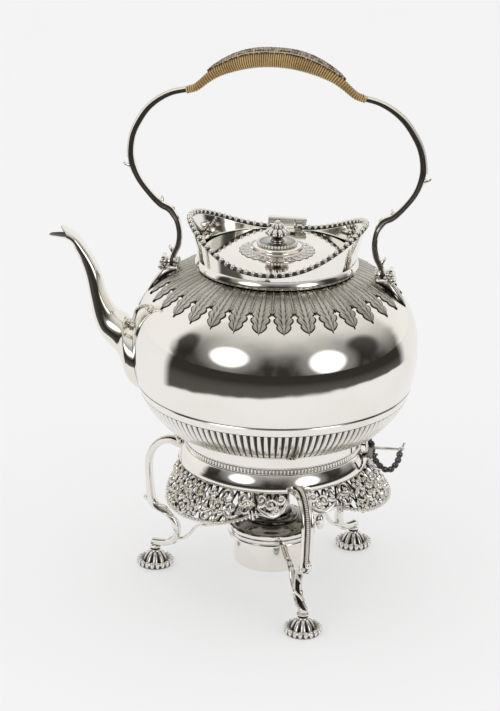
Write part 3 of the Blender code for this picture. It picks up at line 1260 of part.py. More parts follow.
def chain_run(lengths, bend, tilt):
    """Stretches of a hanging chain that turns evenly from one side to the other."""
    middle = (len(lengths) - 1) / 2
    run = []
    for index, length in enumerate(lengths):
        slope = bend * (index - middle) + tilt
        slope = min(max(slope, -CHAIN_HANG_ANGLE), CHAIN_HANG_ANGLE)
        run.append(Vector((math.cos(slope), 0, math.sin(slope))) * length)
    return run


def halve(low, high, too_low):
    """Halve an interval until it closes on the value where too_low turns false."""
    for _ in range(CHAIN_HALVINGS):
        middle = (low + high) / 2
        if too_low(middle):
            low = middle
        else:
            high = middle
    return (low + high) / 2


def hanging_joints(start, end, lengths):
    """Joint places of a chain of given lengths that hangs between two places."""
    reach = end - start

    def level_tilt(bend):
        """Tilt at which the chain's end has its right height."""
        return halve(-math.pi / 2, math.pi / 2, lambda tilt: sum(
            stretch.z for stretch in chain_run(lengths, bend, tilt)) < reach.z)

    bend = halve(0, CHAIN_HANG_ANGLE, lambda value: sum(
        stretch.x for stretch in chain_run(lengths, value, level_tilt(value))) > reach.x)
    joints = [start]
    for stretch in chain_run(lengths, bend, level_tilt(bend)):
        joints.append(joints[-1] + stretch)
    return joints


def add_link(name, middle, heading, across):
    """One oval link of round wire."""
    normal = heading.cross(across)
    straight = CHAIN_LINK_HALF_LENGTH - CHAIN_LINK_HALF_WIDTH
    rings = []
    for index in range(CHAIN_LINK_POINTS):
        angle = FULL_TURN * (index + 0.5) / CHAIN_LINK_POINTS
        outward = heading * math.cos(angle) + across * math.sin(angle)
        shift = heading * math.copysign(straight, math.cos(angle))
        place = middle + shift + outward * CHAIN_LINK_HALF_WIDTH
        rings.append(section(place, outward, normal, CHAIN_WIRE_RADIUS, CHAIN_WIRE_RADIUS, 4))
    add_piece(name, loft(rings, name, cyclic=True), "stand")


def main():
    """Build the kettle, its stand and its lamp."""
    clear_scene()
    make_collections()
    make_material("silver", (0.80, 0.78, 0.74), 0.18, 1.0)
    make_material("dark_silver", (0.32, 0.30, 0.28), 0.35, 1.0)
    make_material("brass", (0.72, 0.58, 0.33), 0.3, 1.0)
    make_material("cane", (0.66, 0.48, 0.24), 0.55, 0.0)
    make_material("dark_cane", (0.22, 0.13, 0.08), 0.6, 0.0)
    make_material("cotton", (0.86, 0.82, 0.72), 0.9, 0.0)
    axis = Vector((AXIS_X, 0, 0))
    make_frame("kettle_axis", axis)
    make_frame("stand", axis, "kettle_axis")
    make_frame("lamp_lift", axis, "kettle_axis")
    make_frame("lock_pin", axis + Vector((0, 0, LOCK_AXIS_HEIGHT)), "kettle_axis")
    make_frame("kettle_tilt", axis + TILT_AXIS, "kettle_axis")
    make_frame("lid_hinge", axis + LID_HINGE, "kettle_tilt")
    make_frame("handle_swing", axis + HANDLE_PIVOT, "kettle_tilt")
    build_kettle_body()
    build_foot_band()
    build_neck_ring()
    build_gallery()
    build_gallery_beads()
    build_spout()
    build_spout_scrolls()
    build_lid()
    build_lid_hinge()
    build_handle_arms()
    build_grip_core()
    build_grip_winding()
    build_grip_strip()
    build_stand_ring()
    build_legs()
    build_apron()
    build_lamp()
    build_tilt_hinge()
    build_lock()


main()
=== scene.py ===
"""Dresses the spirit kettle on its stand: silver plate, cane-wound grip, pierced apron and lamp.

Sizes are in millimetres about the kettle's upright axis, until a form becomes a piece.
"""
import logging
import math
from dataclasses import dataclass
from enum import Enum
from typing import Iterable, Sequence

import bmesh
import bpy
import numpy as np
from mathutils import Matrix, Vector


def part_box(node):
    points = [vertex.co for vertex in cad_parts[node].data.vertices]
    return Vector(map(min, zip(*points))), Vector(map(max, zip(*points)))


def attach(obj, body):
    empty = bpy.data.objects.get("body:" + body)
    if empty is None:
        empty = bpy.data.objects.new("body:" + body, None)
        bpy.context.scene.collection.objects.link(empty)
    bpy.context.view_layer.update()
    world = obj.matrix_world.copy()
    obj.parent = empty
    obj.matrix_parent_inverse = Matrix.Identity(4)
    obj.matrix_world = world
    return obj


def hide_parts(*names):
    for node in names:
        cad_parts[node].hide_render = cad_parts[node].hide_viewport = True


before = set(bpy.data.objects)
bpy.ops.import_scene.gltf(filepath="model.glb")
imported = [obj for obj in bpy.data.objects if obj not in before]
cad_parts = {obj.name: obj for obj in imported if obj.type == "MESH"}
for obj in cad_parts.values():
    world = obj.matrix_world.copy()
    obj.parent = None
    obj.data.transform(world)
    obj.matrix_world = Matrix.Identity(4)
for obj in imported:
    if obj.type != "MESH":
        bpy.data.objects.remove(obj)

MM = 0.001
TAU = 2 * math.pi
LOG = logging.getLogger("spirit_kettle")
UP = np.array((0.0, 0.0, 1.0))
SIDE = np.array((0.0, 1.0, 0.0))
AXIS_X = sum(corner.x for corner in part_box("neck_ring")) / 2


class Finish(Enum):
    """Finishes of this object's pieces, each with the record's slot that it belongs to."""

    POLISHED = "polished", "silver"
    CHASED = "chased", "silver"
    ENGRAVED = "engraved", "silver"
    SMOKED = "smoked", "dark_silver"
    BLACKENED = "blackened", "dark_silver"
    BRASS = "old_brass", "brass"
    CANE = "split_cane", "cane"
    STRIP = "woven_strip", "dark_cane"
    COTTON = "wick_cotton", "cotton"


class Wiring:
    """A short way to add nodes to a node tree and to link them."""

    def __init__(self, tree: bpy.types.NodeTree) -> None:
        """Keep the tree that nodes are added to."""
        self.tree = tree

    def feed(self, socket: bpy.types.NodeSocket, value: object) -> None:
        """Link a node or socket to an input, or set the input's value."""
        if isinstance(value, bpy.types.Node):
            value = value.outputs[0]
        if isinstance(value, bpy.types.NodeSocket):
            self.tree.links.new(value, socket)
        elif isinstance(value, tuple) and len(value) == 3 and socket.type == "RGBA":
            socket.default_value = (*value, 1.0)
        else:
            socket.default_value = value

    def add(self, kind: str, inputs: dict | None = None, **settings: object) -> bpy.types.Node:
        """Add one node.

        Args:
            kind: Type name of the node.
            inputs: Values, nodes or sockets for the node's inputs, by name or number.
            settings: Values of the node's own properties.

        Returns:
            The new node.
        """
        node = self.tree.nodes.new(kind)
        for key, value in settings.items():
            setattr(node, key, value)
        for key, value in (inputs or {}).items():
            self.feed(node.inputs[key], value)
        return node

    def math(self, operation: str, *values: object) -> bpy.types.NodeSocket:
        """Add a Math node and return its output socket."""
        node = self.add("ShaderNodeMath", dict(enumerate(values)), operation=operation)
        return node.outputs[0]

    def ramp(self, value: object, low: float, high: float, start: float = 0.0,
             end: float = 1.0) -> bpy.types.NodeSocket:
        """Add a smooth Map Range from low..high to start..end and return its output socket."""
        inputs = {"Value": value, "From Min": low, "From Max": high, "To Min": start,
                  "To Max": end}
        return self.add("ShaderNodeMapRange", inputs, interpolation_type="SMOOTHSTEP").outputs[0]

    def mix(self, factor: object, first: object, second: object) -> bpy.types.NodeSocket:
        """Add a colour Mix node and return its output socket."""
        node = self.add("ShaderNodeMix", data_type="RGBA")
        for index, value in ((0, factor), (6, first), (7, second)):
            self.feed(node.inputs[index], value)
        return node.outputs[2]

    def noise(self, place: object, scale: float, detail: float = 3.0) -> bpy.types.NodeSocket:
        """Add a Noise Texture and return its value."""
        inputs = {"Vector": place, "Scale": scale, "Detail": detail}
        return self.add("ShaderNodeTexNoise", inputs).outputs[0]

    def mark(self, name: str, output: str = "Fac") -> bpy.types.NodeSocket:
        """Read an attribute of the mesh."""
        return self.add("ShaderNodeAttribute", attribute_name=name).outputs[output]

    def place(self) -> bpy.types.NodeSocket:
        """Read Object coordinates."""
        return self.add("ShaderNodeTexCoord").outputs["Object"]


class Group(Wiring):
    """A node group with named inputs and outputs."""

    def __init__(self, name: str, kind: str, inputs: dict, outputs: dict) -> None:
        """Make an empty group.

        Args:
            name: Name of the group.
            kind: Type of tree, for shaders or for geometry.
            inputs: Socket type, or pair of socket type and default value, for each name.
            outputs: Socket type for each name.
        """
        super().__init__(bpy.data.node_groups.new(name, kind))
        for label, given in inputs.items():
            kind_of, *default = given if isinstance(given, tuple) else (given,)
            socket = self.tree.interface.new_socket(
                label, in_out="INPUT", socket_type="NodeSocket" + kind_of)
            if default:
                socket.default_value = default[0]
        for label, kind_of in outputs.items():
            self.tree.interface.new_socket(
                label, in_out="OUTPUT", socket_type="NodeSocket" + kind_of)
        self.given = self.add("NodeGroupInput").outputs
        self.result = self.add("NodeGroupOutput").inputs


# Forms


def smooth(points: Iterable[Sequence[float]], steps: int) -> np.ndarray:
    """Run a Catmull-Rom curve through points, with a number of steps between two points."""
    known = np.array(list(points), float)
    known = np.vstack((2 * known[0] - known[1], known, 2 * known[-1] - known[-2]))
    share = (np.arange(steps) / steps)[:, None]
    rows = [0.5 * (2 * start + (end - before) * share
                   + (2 * before - 5 * start + 4 * end - after) * share ** 2
                   + (3 * start - before - 3 * end + after) * share ** 3)
            for before, start, end, after in zip(known, known[1:], known[2:], known[3:])]
    return np.vstack((*rows, known[-2:-1]))


def unit(vectors: np.ndarray) -> np.ndarray:
    """Scale each row of an array to length one."""
    return vectors / np.maximum(np.linalg.norm(vectors, axis=-1, keepdims=True), 1e-9)


def bump(value: np.ndarray, middle: float, half: float) -> np.ndarray:
    """Round hump of height one about a middle value."""
    return np.sqrt(np.clip(1 - ((value - middle) / half) ** 2, 0, 1))


def rotated(line: np.ndarray, turn: np.ndarray, centre: Sequence[float] = (0, 0)) -> np.ndarray:
    """Place (radius, height) pairs at angles about an upright line."""
    line = np.asarray(line, float)
    return np.stack((line[..., 0] * np.cos(turn) + centre[0],
                     line[..., 0] * np.sin(turn) + centre[1],
                     line[..., 1] + 0 * turn), axis=-1)


class Form:
    """Closed skins gathered from grids of points, each point with its own darkness, laid as painted shade
    and patina.
    """

    def __init__(self) -> None:
        """Start with no points."""
        self.points: list[np.ndarray] = []
        self.faces: list[tuple[int, ...]] = []
        self.tarnish: list[np.ndarray] = []
        self.weave: list[np.ndarray] = []
        self.size = 0

    def grid(self, points: np.ndarray, tarnish: object = 0.0, around: bool = True,
             closed: bool = False, caps: bool = False,
             weave: np.ndarray | None = None) -> "Form":
        """Skin rows of points.

        Args:
            points: Array of rows, columns and three coordinates.
            tarnish: Darkness of the points, laid as painted shade and patina, one value or an array of
                rows and columns.
            around: Whether each row is a ring.
            closed: Whether the last row joins the first.
            caps: Whether the first and the last row are filled.
            weave: Coordinates along and across the surface, for each point.

        Returns:
            This form.
        """
        rows, columns = points.shape[:2]
        index = np.arange(rows * columns).reshape(rows, columns) + self.size
        after = np.roll(index, -1, axis=1) if around else index[:, 1:]
        here = index if around else index[:, :-1]
        for row in range(rows if closed else rows - 1):
            below = (row + 1) % rows
            self.faces += zip(here[row].tolist(), after[row].tolist(),
                              after[below].tolist(), here[below].tolist())
        if caps:
            self.faces += [tuple(index[0].tolist()), tuple(index[-1].tolist())]
        self.points.append(points.reshape(-1, 3))
        self.tarnish.append(np.broadcast_to(np.asarray(tarnish, float), (rows, columns)).ravel())
        flat = np.zeros((rows * columns, 2)) if weave is None else weave.reshape(-1, 2)
        self.weave.append(flat)
        self.size += rows * columns
        return self

    def lathe(self, profile: Sequence[Sequence[float]], columns: int = 96,
              tarnish: object = 0.0, closed: bool = True,
              centre: Sequence[float] = (0, 0), lobes: object = 1.0) -> "Form":
        """Turn a profile of (radius, height) pairs about an upright line.

        Args:
            profile: The pairs.
            columns: Number of steps of the turn.
            tarnish: Darkness laid as painted shade and patina, one value or one for each pair.
            closed: Whether the last pair joins the first.
            centre: Place of the upright line.
            lobes: Factor on the radius at each step of the turn.

        Returns:
            This form.
        """
        line = np.array(profile, float)
        turn = np.broadcast_to(TAU * np.arange(columns) / columns, (len(line), columns))
        pairs = np.repeat(line[:, None], columns, axis=1)
        pairs[..., 0] *= lobes
        shade = np.asarray(tarnish, float)
        shade = shade[:, None] if shade.ndim == 1 else shade
        return self.grid(rotated(pairs, turn, centre), shade, closed=closed)

    def sweep(self, path: np.ndarray, side: np.ndarray, half_thick: object, half_wide: object,
              outline: np.ndarray | None = None, sides: int = 10,
              tarnish: object = 0.0) -> "Form":
        """Sweep a section along a path.

        Args:
            path: Points of the path.
            side: Direction of the section's width, one for all points or one for each.
            half_thick: Half thickness, one value or one for each point.
            half_wide: Half width, one value or one for each point.
            outline: Closed section of (thickness, width) pairs of size one.
            sides: Number of corners of the round section that is used without an outline.
            tarnish: Darkness of the points, laid as painted shade and patina.

        Returns:
            This form.
        """
        count = len(path)
        run = unit(np.gradient(path, axis=0))
        across = unit(np.cross(np.broadcast_to(side, (count, 3)), run))
        side = unit(np.cross(run, across))
        if outline is None:
            turn = TAU * (np.arange(sides) + 0.5) / sides
            outline = np.stack((np.cos(turn), np.sin(turn)), axis=-1)
        thick = np.broadcast_to(np.asarray(half_thick, float), (count,))[:, None, None]
        wide = np.broadcast_to(np.asarray(half_wide, float), (count,))[:, None, None]
        points = (path[:, None] + across[:, None] * outline[None, :, :1] * thick
                  + side[:, None] * outline[None, :, 1:] * wide)
        return self.grid(points, tarnish, caps=True)

    def ball(self, centre: Sequence[float], half: object, columns: int = 10,
             rows: int = 7, tarnish: float = 0.0,
             facing: np.ndarray | None = None) -> "Form":
        """Add a rounded knob about a centre.

        Args:
            centre: Its middle.
            half: One half size, or three.
            columns: Number of steps round it.
            rows: Number of steps from pole to pole.
            tarnish: Its darkness, laid as painted shade and patina.
            facing: Direction that it faces; its far side gets painted shade.

        Returns:
            This form.
        """
        half = np.broadcast_to(half, (3,))
        tip = np.linspace(0.001, math.pi - 0.001, rows + 1)[:, None]
        turn = TAU * np.arange(columns)[None] / columns
        points = np.stack((np.sin(tip) * np.cos(turn), np.sin(tip) * np.sin(turn),
                           np.cos(tip) + 0 * turn), axis=-1)
        # Painted shade on the side turned away from the facing direction.
        shade = tarnish if facing is None else np.clip(0.45 - 1.2 * points @ facing, 0, 1)
        return self.grid(points * half + np.asarray(centre), shade)

    def plate(self, top: np.ndarray, bottom: np.ndarray, tarnish: object = 0.0,
              weave: np.ndarray | None = None) -> "Form":
        """Close a sheet of points and the sheet under it into one thin skin."""
        both = np.concatenate((top, bottom[:, ::-1]), axis=1)
        shade = np.broadcast_to(np.asarray(tarnish, float), top.shape[:2])
        shade = np.concatenate((shade, shade[:, ::-1]), axis=1)
        if weave is not None:
            weave = np.concatenate((weave, weave[:, ::-1]), axis=1)
        return self.grid(both, shade, caps=True, weave=weave)

    def mesh(self, name: str = "part") -> bpy.types.Mesh:
        """Turn the form into a mesh at its place, in metres, with its faces pointing out."""
        points = np.vstack(self.points) * MM + np.array((AXIS_X, 0, 0))
        mesh = bpy.data.meshes.new(name)
        mesh.from_pydata(points.tolist(), [], self.faces)
        # Per-point darkness for the materials: painted shade and patina on metal, painted shade on cane,
        # and the pale edge strands on the woven strip.
        tarnish = mesh.attributes.new("tarnish", "FLOAT", "POINT")
        tarnish.data.foreach_set("value", np.concatenate(self.tarnish).astype(np.float32))
        weave = mesh.attributes.new("weave", "FLOAT2", "POINT")
        weave.data.foreach_set("vector", np.vstack(self.weave).astype(np.float32).ravel())
        return tidy_mesh(mesh)

    def piece(self, name: str, finish: Finish, body: str, *nodes: str,
              extra: Sequence[bpy.types.Mesh] = ()) -> bpy.types.Object:
        """Make a piece of this form, joined with more meshes, that stands for CAD nodes."""
        mesh = joined(self.mesh(), *extra) if extra else self.mesh()
        return add_piece(name, mesh, finish, body, *nodes)


def tidy_mesh(mesh: bpy.types.Mesh, crease: float = 42) -> bpy.types.Mesh:
    """Weld a mesh, point its faces out and shade it smooth between creases, in degrees."""
    bm = bmesh.new()
    bm.from_mesh(mesh)
    bmesh.ops.remove_doubles(bm, verts=bm.verts[:], dist=2e-6)
    bmesh.ops.recalc_face_normals(bm, faces=bm.faces[:])
    bm.to_mesh(mesh)
    bm.free()
    mesh.shade_smooth()
    mesh.set_sharp_from_angle(angle=math.radians(crease))
    return mesh


def joined(*meshes: bpy.types.Mesh) -> bpy.types.Mesh:
    """Put several meshes into one."""
    bm = bmesh.new()
    for mesh in meshes:
        bm.from_mesh(mesh)
    result = bpy.data.meshes.new("joined")
    bm.to_mesh(result)
    bm.free()
    result.shade_smooth()
    result.set_sharp_from_angle(angle=math.radians(50))
    return result


# Finishes


@dataclass(frozen=True)
class Metal:
    """Colours, stains, scratches and the dark of painted shade and patina for one metal finish."""

    bright: tuple[float, float, float]
    stain: tuple[float, float, float]
    dark: tuple[float, float, float]
    roughness: float
    dark_roughness: float = 0.42
    stain_share: float = 0.8
    scratch: float = 0.05
    hammer: float = 0.0


# Each metal's third colour is laid as painted shade and patina where a point is marked dark.
METALS = {
    Finish.POLISHED: Metal((0.90, 0.875, 0.83), (0.80, 0.765, 0.68), (0.075, 0.068, 0.06),
                           0.05, stain_share=0.5, scratch=0.02),
    Finish.CHASED: Metal((0.88, 0.855, 0.81), (0.66, 0.62, 0.54), (0.030, 0.027, 0.023),
                         0.15, stain_share=0.6, hammer=0.25),
    Finish.ENGRAVED: Metal((0.54, 0.515, 0.46), (0.30, 0.28, 0.24), (0.040, 0.035, 0.028),
                           0.24, hammer=0.5),
    Finish.SMOKED: Metal((0.25, 0.235, 0.215), (0.19, 0.175, 0.155), (0.05, 0.045, 0.04), 0.09,
                         stain_share=0.4, scratch=0.01),
    Finish.BLACKENED: Metal((0.15, 0.145, 0.14), (0.06, 0.055, 0.05), (0.02, 0.018, 0.016),
                            0.30, hammer=0.3),
    Finish.BRASS: Metal((0.66, 0.52, 0.28), (0.34, 0.25, 0.13), (0.10, 0.07, 0.03), 0.25),
}


class Finishes:
    """Builds the material of each finish once, from shared groups of nodes."""

    def __init__(self) -> None:
        """Build the shared groups and an empty store of materials."""
        self.wear = self.make_wear()
        self.fibre = self.make_fibre()
        self.made: dict[Finish, bpy.types.Material] = {}

    def make_wear(self) -> bpy.types.NodeTree:
        """Group for a metal's stains, its painted shade and patina in recesses and on undersides, and its
        fine scratches.
        """
        group = Group("metal_wear_and_shade", "ShaderNodeTree", {
            "Bright": "Color", "Stain": "Color", "Dark": "Color",
            "Stain share": "Float", "Roughness": "Float", "Dark roughness": "Float",
            "Scratch": "Float", "Hammer": "Float"},
            {"Colour": "Color", "Roughness": "Float", "Height": "Float"})
        given, place = group.given, group.place()
        fine = group.noise(place, 900.0, 2.0)
        stretched = group.add("ShaderNodeMapping", {
            "Vector": place, "Scale": (90, 140, 2600), "Rotation": (0.4, 0.9, 0.2)})
        lines = group.noise(stretched, 1.0)
        stain = group.math("MULTIPLY", group.ramp(group.noise(place, 21.0, 4.0), 0.42, 0.72),
                           given["Stain share"])
        speckle = group.math("MULTIPLY", group.math("SUBTRACT", fine, 0.5), 0.35)
        # Painted shade and patina: the per-point darkness, broken up by speckle, pulls the colour towards
        # the dark colour.
        deep = group.ramp(group.math("ADD", group.mark("tarnish"), speckle), 0.12, 0.85)
        colour = group.mix(stain, given["Bright"], given["Stain"])
        colour = group.mix(deep, colour, given["Dark"])
        scratches = group.math("MULTIPLY", group.ramp(lines, 0.5, 0.75), given["Scratch"])
        rough = group.math("ADD", given["Roughness"], scratches)
        rough = group.math("MULTIPLY_ADD", stain, 0.05, rough)
        apart = group.math("SUBTRACT", given["Dark roughness"], rough)
        rough = group.math("MULTIPLY_ADD", deep, apart, rough)
        height = group.math("MULTIPLY", lines, given["Scratch"])
        height = group.math("MULTIPLY_ADD", fine, given["Hammer"], height)
        for label, socket in (("Colour", colour), ("Roughness", rough), ("Height", height)):
            group.feed(group.result[label], socket)
        return group.tree

    def make_fibre(self) -> bpy.types.NodeTree:
        """Group for the grain of cane and of cotton along their own length, with painted shade on points
        marked dark.
        """
        group = Group("fibre_grain", "ShaderNodeTree", {
            "Pale": "Color", "Deep": "Color", "Along": "Float", "Across": "Float"},
            {"Colour": "Color", "Height": "Float"})
        weave = group.add("ShaderNodeSeparateXYZ", {0: group.mark("weave", "Vector")}).outputs
        grain = group.noise(group.add("ShaderNodeCombineXYZ", {
            0: group.math("MULTIPLY", weave[0], group.given["Along"]),
            1: group.math("MULTIPLY", weave[1], group.given["Across"])}), 1.0)
        broad = group.math("MULTIPLY", group.noise(group.place(), 60.0), 0.45)
        share = group.ramp(group.math("MULTIPLY_ADD", grain, 0.55, broad), 0.34, 0.66)
        # Painted shade: points marked dark, such as the bed between cane turns, take the deep colour.
        share = group.math("MAXIMUM", share, group.mark("tarnish"))
        colour = group.mix(share, group.given["Pale"], group.given["Deep"])
        group.feed(group.result["Colour"], colour)
        group.feed(group.result["Height"], grain)
        return group.tree

    def material(self, finish: Finish) -> bpy.types.Material:
        """Give the material of a finish, and build it on first use."""
        if finish not in self.made:
            material = bpy.data.materials.new(finish.value[0])
            material.use_nodes = True
            wiring = Wiring(material.node_tree)
            shader = material.node_tree.nodes["Principled BSDF"]
            if finish in METALS:
                self.wire_metal(wiring, shader, METALS[finish])
            elif finish is Finish.STRIP:
                self.wire_strip(wiring, shader)
            else:
                self.wire_fibre(wiring, shader, finish is Finish.CANE)
            self.made[finish] = material
        return self.made[finish]

    def wire_metal(self, wiring: Wiring, shader: bpy.types.Node, metal: Metal) -> None:
        """Wire a metal's group of stains, painted shade and scratches into its shader."""
        group = wiring.add("ShaderNodeGroup", node_tree=self.wear)
        for label, value in (
                ("Bright", metal.bright), ("Stain", metal.stain), ("Dark", metal.dark),
                ("Stain share", metal.stain_share), ("Roughness", metal.roughness),
                ("Dark roughness", metal.dark_roughness), ("Scratch", metal.scratch),
                ("Hammer", metal.hammer)):
            wiring.feed(group.inputs[label], value)
        relief = wiring.add("ShaderNodeBump", {
            "Height": group.outputs["Height"], "Strength": 0.12 + 0.3 * metal.hammer,
            "Distance": 0.0002})
        wiring.feed(shader.inputs["Metallic"], 1.0)
        wiring.feed(shader.inputs["Base Color"], group.outputs["Colour"])
        wiring.feed(shader.inputs["Roughness"], group.outputs["Roughness"])
        wiring.feed(shader.inputs["Normal"], relief)

    def wire_fibre(self, wiring: Wiring, shader: bpy.types.Node, cane: bool) -> None:
        """Wire the grain of cane or cotton into its shader."""
        group = wiring.add("ShaderNodeGroup", node_tree=self.fibre)
        pale, deep = (0.74, 0.535, 0.225), (0.22, 0.12, 0.03)
        if not cane:
            pale, deep = (0.80, 0.76, 0.66), (0.42, 0.37, 0.30)
        for label, value in (("Pale", pale), ("Deep", deep), ("Along", 0.9), ("Across", 7.0)):
            wiring.feed(group.inputs[label], value)
        relief = wiring.add("ShaderNodeBump", {"Height": group.outputs["Height"],
                                               "Strength": 0.4, "Distance": 0.0003})
        for label, value in (("Roughness", 0.42 if cane else 0.9), ("Coat Roughness", 0.3),
                             ("Coat Weight", 0.25 if cane else 0.0), ("Normal", relief),
                             ("Base Color", group.outputs["Colour"])):
            wiring.feed(shader.inputs[label], value)

    def wire_strip(self, wiring: Wiring, shader: bpy.types.Node) -> None:
        """Wire the dark strip's basket weave, with pale strands along its edges."""
        weave = wiring.mark("weave", "Vector")
        parts = wiring.add("ShaderNodeSeparateXYZ", {0: weave}).outputs
        check = wiring.add("ShaderNodeTexChecker", {
            "Vector": weave, "Scale": 1.0, "Color1": (1.0, 1.0, 1.0), "Color2": (0.0, 0.0, 0.0)})
        waves = [wiring.math("ABSOLUTE", wiring.math("SINE", wiring.math(
            "MULTIPLY", parts[index], math.pi))) for index in (0, 1)]
        height = wiring.mix(check, waves[0], waves[1])
        worn = wiring.ramp(wiring.noise(weave, 0.45), 0.45, 0.55)
        base = wiring.mix(worn, (0.07, 0.042, 0.026), (0.46, 0.37, 0.27))
        colour = wiring.mix(wiring.mark("tarnish"), base, (0.66, 0.56, 0.38))
        # Painted shade in the low parts of the weave, between its strands.
        shaded = wiring.mix(wiring.ramp(height, 0.1, 0.7), (0.045, 0.03, 0.02), colour)
        relief = wiring.add("ShaderNodeBump", {"Height": height, "Strength": 0.8,
                                               "Distance": 0.0005})
        for label, value in (("Roughness", 0.5), ("Base Color", shaded), ("Normal", relief)):
            wiring.feed(shader.inputs[label], value)


FINISHES = Finishes()


def add_piece(name: str, mesh: bpy.types.Mesh, finish: Finish, body: str,
              *nodes: str) -> bpy.types.Object:
    """Add a finished piece.

    Args:
        name: Name of the piece.
        mesh: Its mesh, at its place in metres.
        finish: Its finish.
        body: Body of the frame that carries it.
        nodes: CAD nodes that it stands for.

    Returns:
        The new object.
    """
    mesh.name = name
    piece = bpy.data.objects.new(name, mesh)
    bpy.context.scene.collection.objects.link(piece)
    mesh.materials.clear()
    mesh.materials.append(FINISHES.material(finish))
    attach(piece, body)
    if nodes:
        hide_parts(*nodes)
    LOG.info("piece %s on %s, %d faces", name, body, len(mesh.polygons))
    return piece


# Trees that repeat a form


def make_ring_tree() -> bpy.types.NodeTree:
    """Geometry Nodes that copy a form evenly round an upright line."""
    group = Group("copies_round_a_line", "GeometryNodeTree", {
        "Geometry": "Geometry", "Count": "Int", "First angle": "Float", "Step angle": "Float",
        "Centre": "Vector", "Finish": "Material"}, {"Geometry": "Geometry"})
    group.tree.is_modifier = True
    given = group.given
    back = group.add("ShaderNodeVectorMath", {0: given["Centre"], "Scale": -1.0},
                     operation="SCALE")
    form = group.add("GeometryNodeTransform", {"Geometry": given["Geometry"],
                                               "Translation": back})
    points = group.add("GeometryNodePoints", {"Count": given["Count"],
                                              "Position": given["Centre"]})
    turn = group.math("MULTIPLY_ADD", group.add("GeometryNodeInputIndex").outputs[0],
                      given["Step angle"], given["First angle"])
    copies = group.add("GeometryNodeInstanceOnPoints", {
        "Points": points, "Instance": form,
        "Rotation": group.add("ShaderNodeCombineXYZ", {2: turn})})
    finish_tree(group, copies)
    return group.tree


def finish_tree(group: Group, copies: bpy.types.Node) -> None:
    """End a tree with real geometry and its finish."""
    real = group.add("GeometryNodeRealizeInstances", {0: copies})
    group.feed(group.result[0], group.add("GeometryNodeSetMaterial", {
        "Geometry": real, "Material": group.given["Finish"]}))


def make_row_tree() -> bpy.types.NodeTree:
    """Geometry Nodes that string beads along a line, or the oval links of a chain."""
    group = Group("beads_on_a_line", "GeometryNodeTree", {
        "Geometry": "Geometry", "Count": "Int", "Half sizes": "Vector", "Columns": "Int",
        "Rows": "Int", "Wire": "Float", "Link": "Bool", "Finish": "Material"},
        {"Geometry": "Geometry"})
    group.tree.is_modifier = True
    given = group.given
    line = group.add("GeometryNodeMeshToCurve", {0: given["Geometry"]})
    line = group.add("GeometryNodeResampleCurve", {"Curve": line, "Count": given["Count"]})
    facing = group.add("FunctionNodeAlignRotationToVector", {
        "Vector": group.add("GeometryNodeInputTangent")}, axis="X")
    height = group.add("GeometryNodeInputNamedAttribute", {"Name": "facing"},
                       data_type="FLOAT_VECTOR")
    facing = group.add("FunctionNodeAlignRotationToVector", {
        "Rotation": facing, "Vector": height}, axis="Z", pivot_axis="X")
    odd = group.math("MODULO", group.add("GeometryNodeInputIndex").outputs[0], 2.0)
    roll = group.add("ShaderNodeCombineXYZ", {0: group.math("MULTIPLY", odd, math.pi / 2)})
    rolled = group.add("FunctionNodeRotateRotation", {
        "Rotation": facing, "Rotate By": group.add("FunctionNodeEulerToRotation", {0: roll})},
        rotation_space="LOCAL")
    sphere = group.add("GeometryNodeMeshUVSphere", {
        "Segments": given["Columns"], "Rings": given["Rows"], "Radius": 1.0})
    bead = group.add("GeometryNodeTransform", {"Geometry": sphere, "Scale": given["Half sizes"]})
    oval = group.add("GeometryNodeCurvePrimitiveCircle", {
        "Resolution": given["Columns"], "Radius": 1.0})
    oval = group.add("GeometryNodeTransform", {"Geometry": oval, "Scale": given["Half sizes"]})
    wire = group.add("GeometryNodeCurvePrimitiveCircle", {
        "Resolution": given["Rows"], "Radius": given["Wire"]})
    link = group.add("GeometryNodeCurveToMesh", {"Curve": oval, "Profile Curve": wire})
    shape = group.add("GeometryNodeSwitch", {"Switch": given["Link"], "False": bead,
                                             "True": link}, input_type="GEOMETRY")
    turned_by = group.add("GeometryNodeSwitch", {"Switch": given["Link"], "False": facing,
                                                 "True": rolled}, input_type="ROTATION")
    finish_tree(group, group.add("GeometryNodeInstanceOnPoints", {
        "Points": line, "Instance": shape, "Rotation": turned_by}))
    return group.tree


RING_TREE = make_ring_tree()
ROW_TREE = make_row_tree()


def grown(mesh: bpy.types.Mesh, tree: bpy.types.NodeTree, values: dict) -> bpy.types.Mesh:
    """Run a tree of Geometry Nodes on a mesh and return the plain mesh that it makes.

    Args:
        mesh: The mesh that goes into the tree.
        tree: The tree.
        values: Values of the tree's named inputs.

    Returns:
        A new mesh without any modifier.
    """
    carrier = bpy.data.objects.new("carrier", mesh)
    bpy.context.scene.collection.objects.link(carrier)
    modifier = carrier.modifiers.new("Repeat", "NODES")
    modifier.node_group = tree
    for item in tree.interface.items_tree:
        if item.in_out == "INPUT" and item.name in values:
            modifier[item.identifier] = values[item.name]
    graph = bpy.context.evaluated_depsgraph_get()
    graph.update()
    result = bpy.data.meshes.new_from_object(carrier.evaluated_get(graph))
    carrier.modifiers.remove(modifier)
    bpy.data.objects.remove(carrier, do_unlink=True)
    return result


def ring_copies(form: Form, count: int, finish: Finish, first: float = 0.0,
                centre: Sequence[float] = (0, 0)) -> bpy.types.Mesh:
    """Copy a form in an even ring about an upright line.

    Args:
        form: The form to copy.
        count: Number of copies.
        finish: Finish of the copies.
        first: Angle of the first copy.
        centre: Place of the upright line.

    Returns:
        One mesh with all copies.
    """
    middle = Vector((AXIS_X + centre[0] * MM, centre[1] * MM, 0))
    return tidy_mesh(grown(form.mesh(), RING_TREE, {
        "Count": count, "First angle": first, "Step angle": TAU / count, "Centre": middle,
        "Finish": FINISHES.material(finish)}))


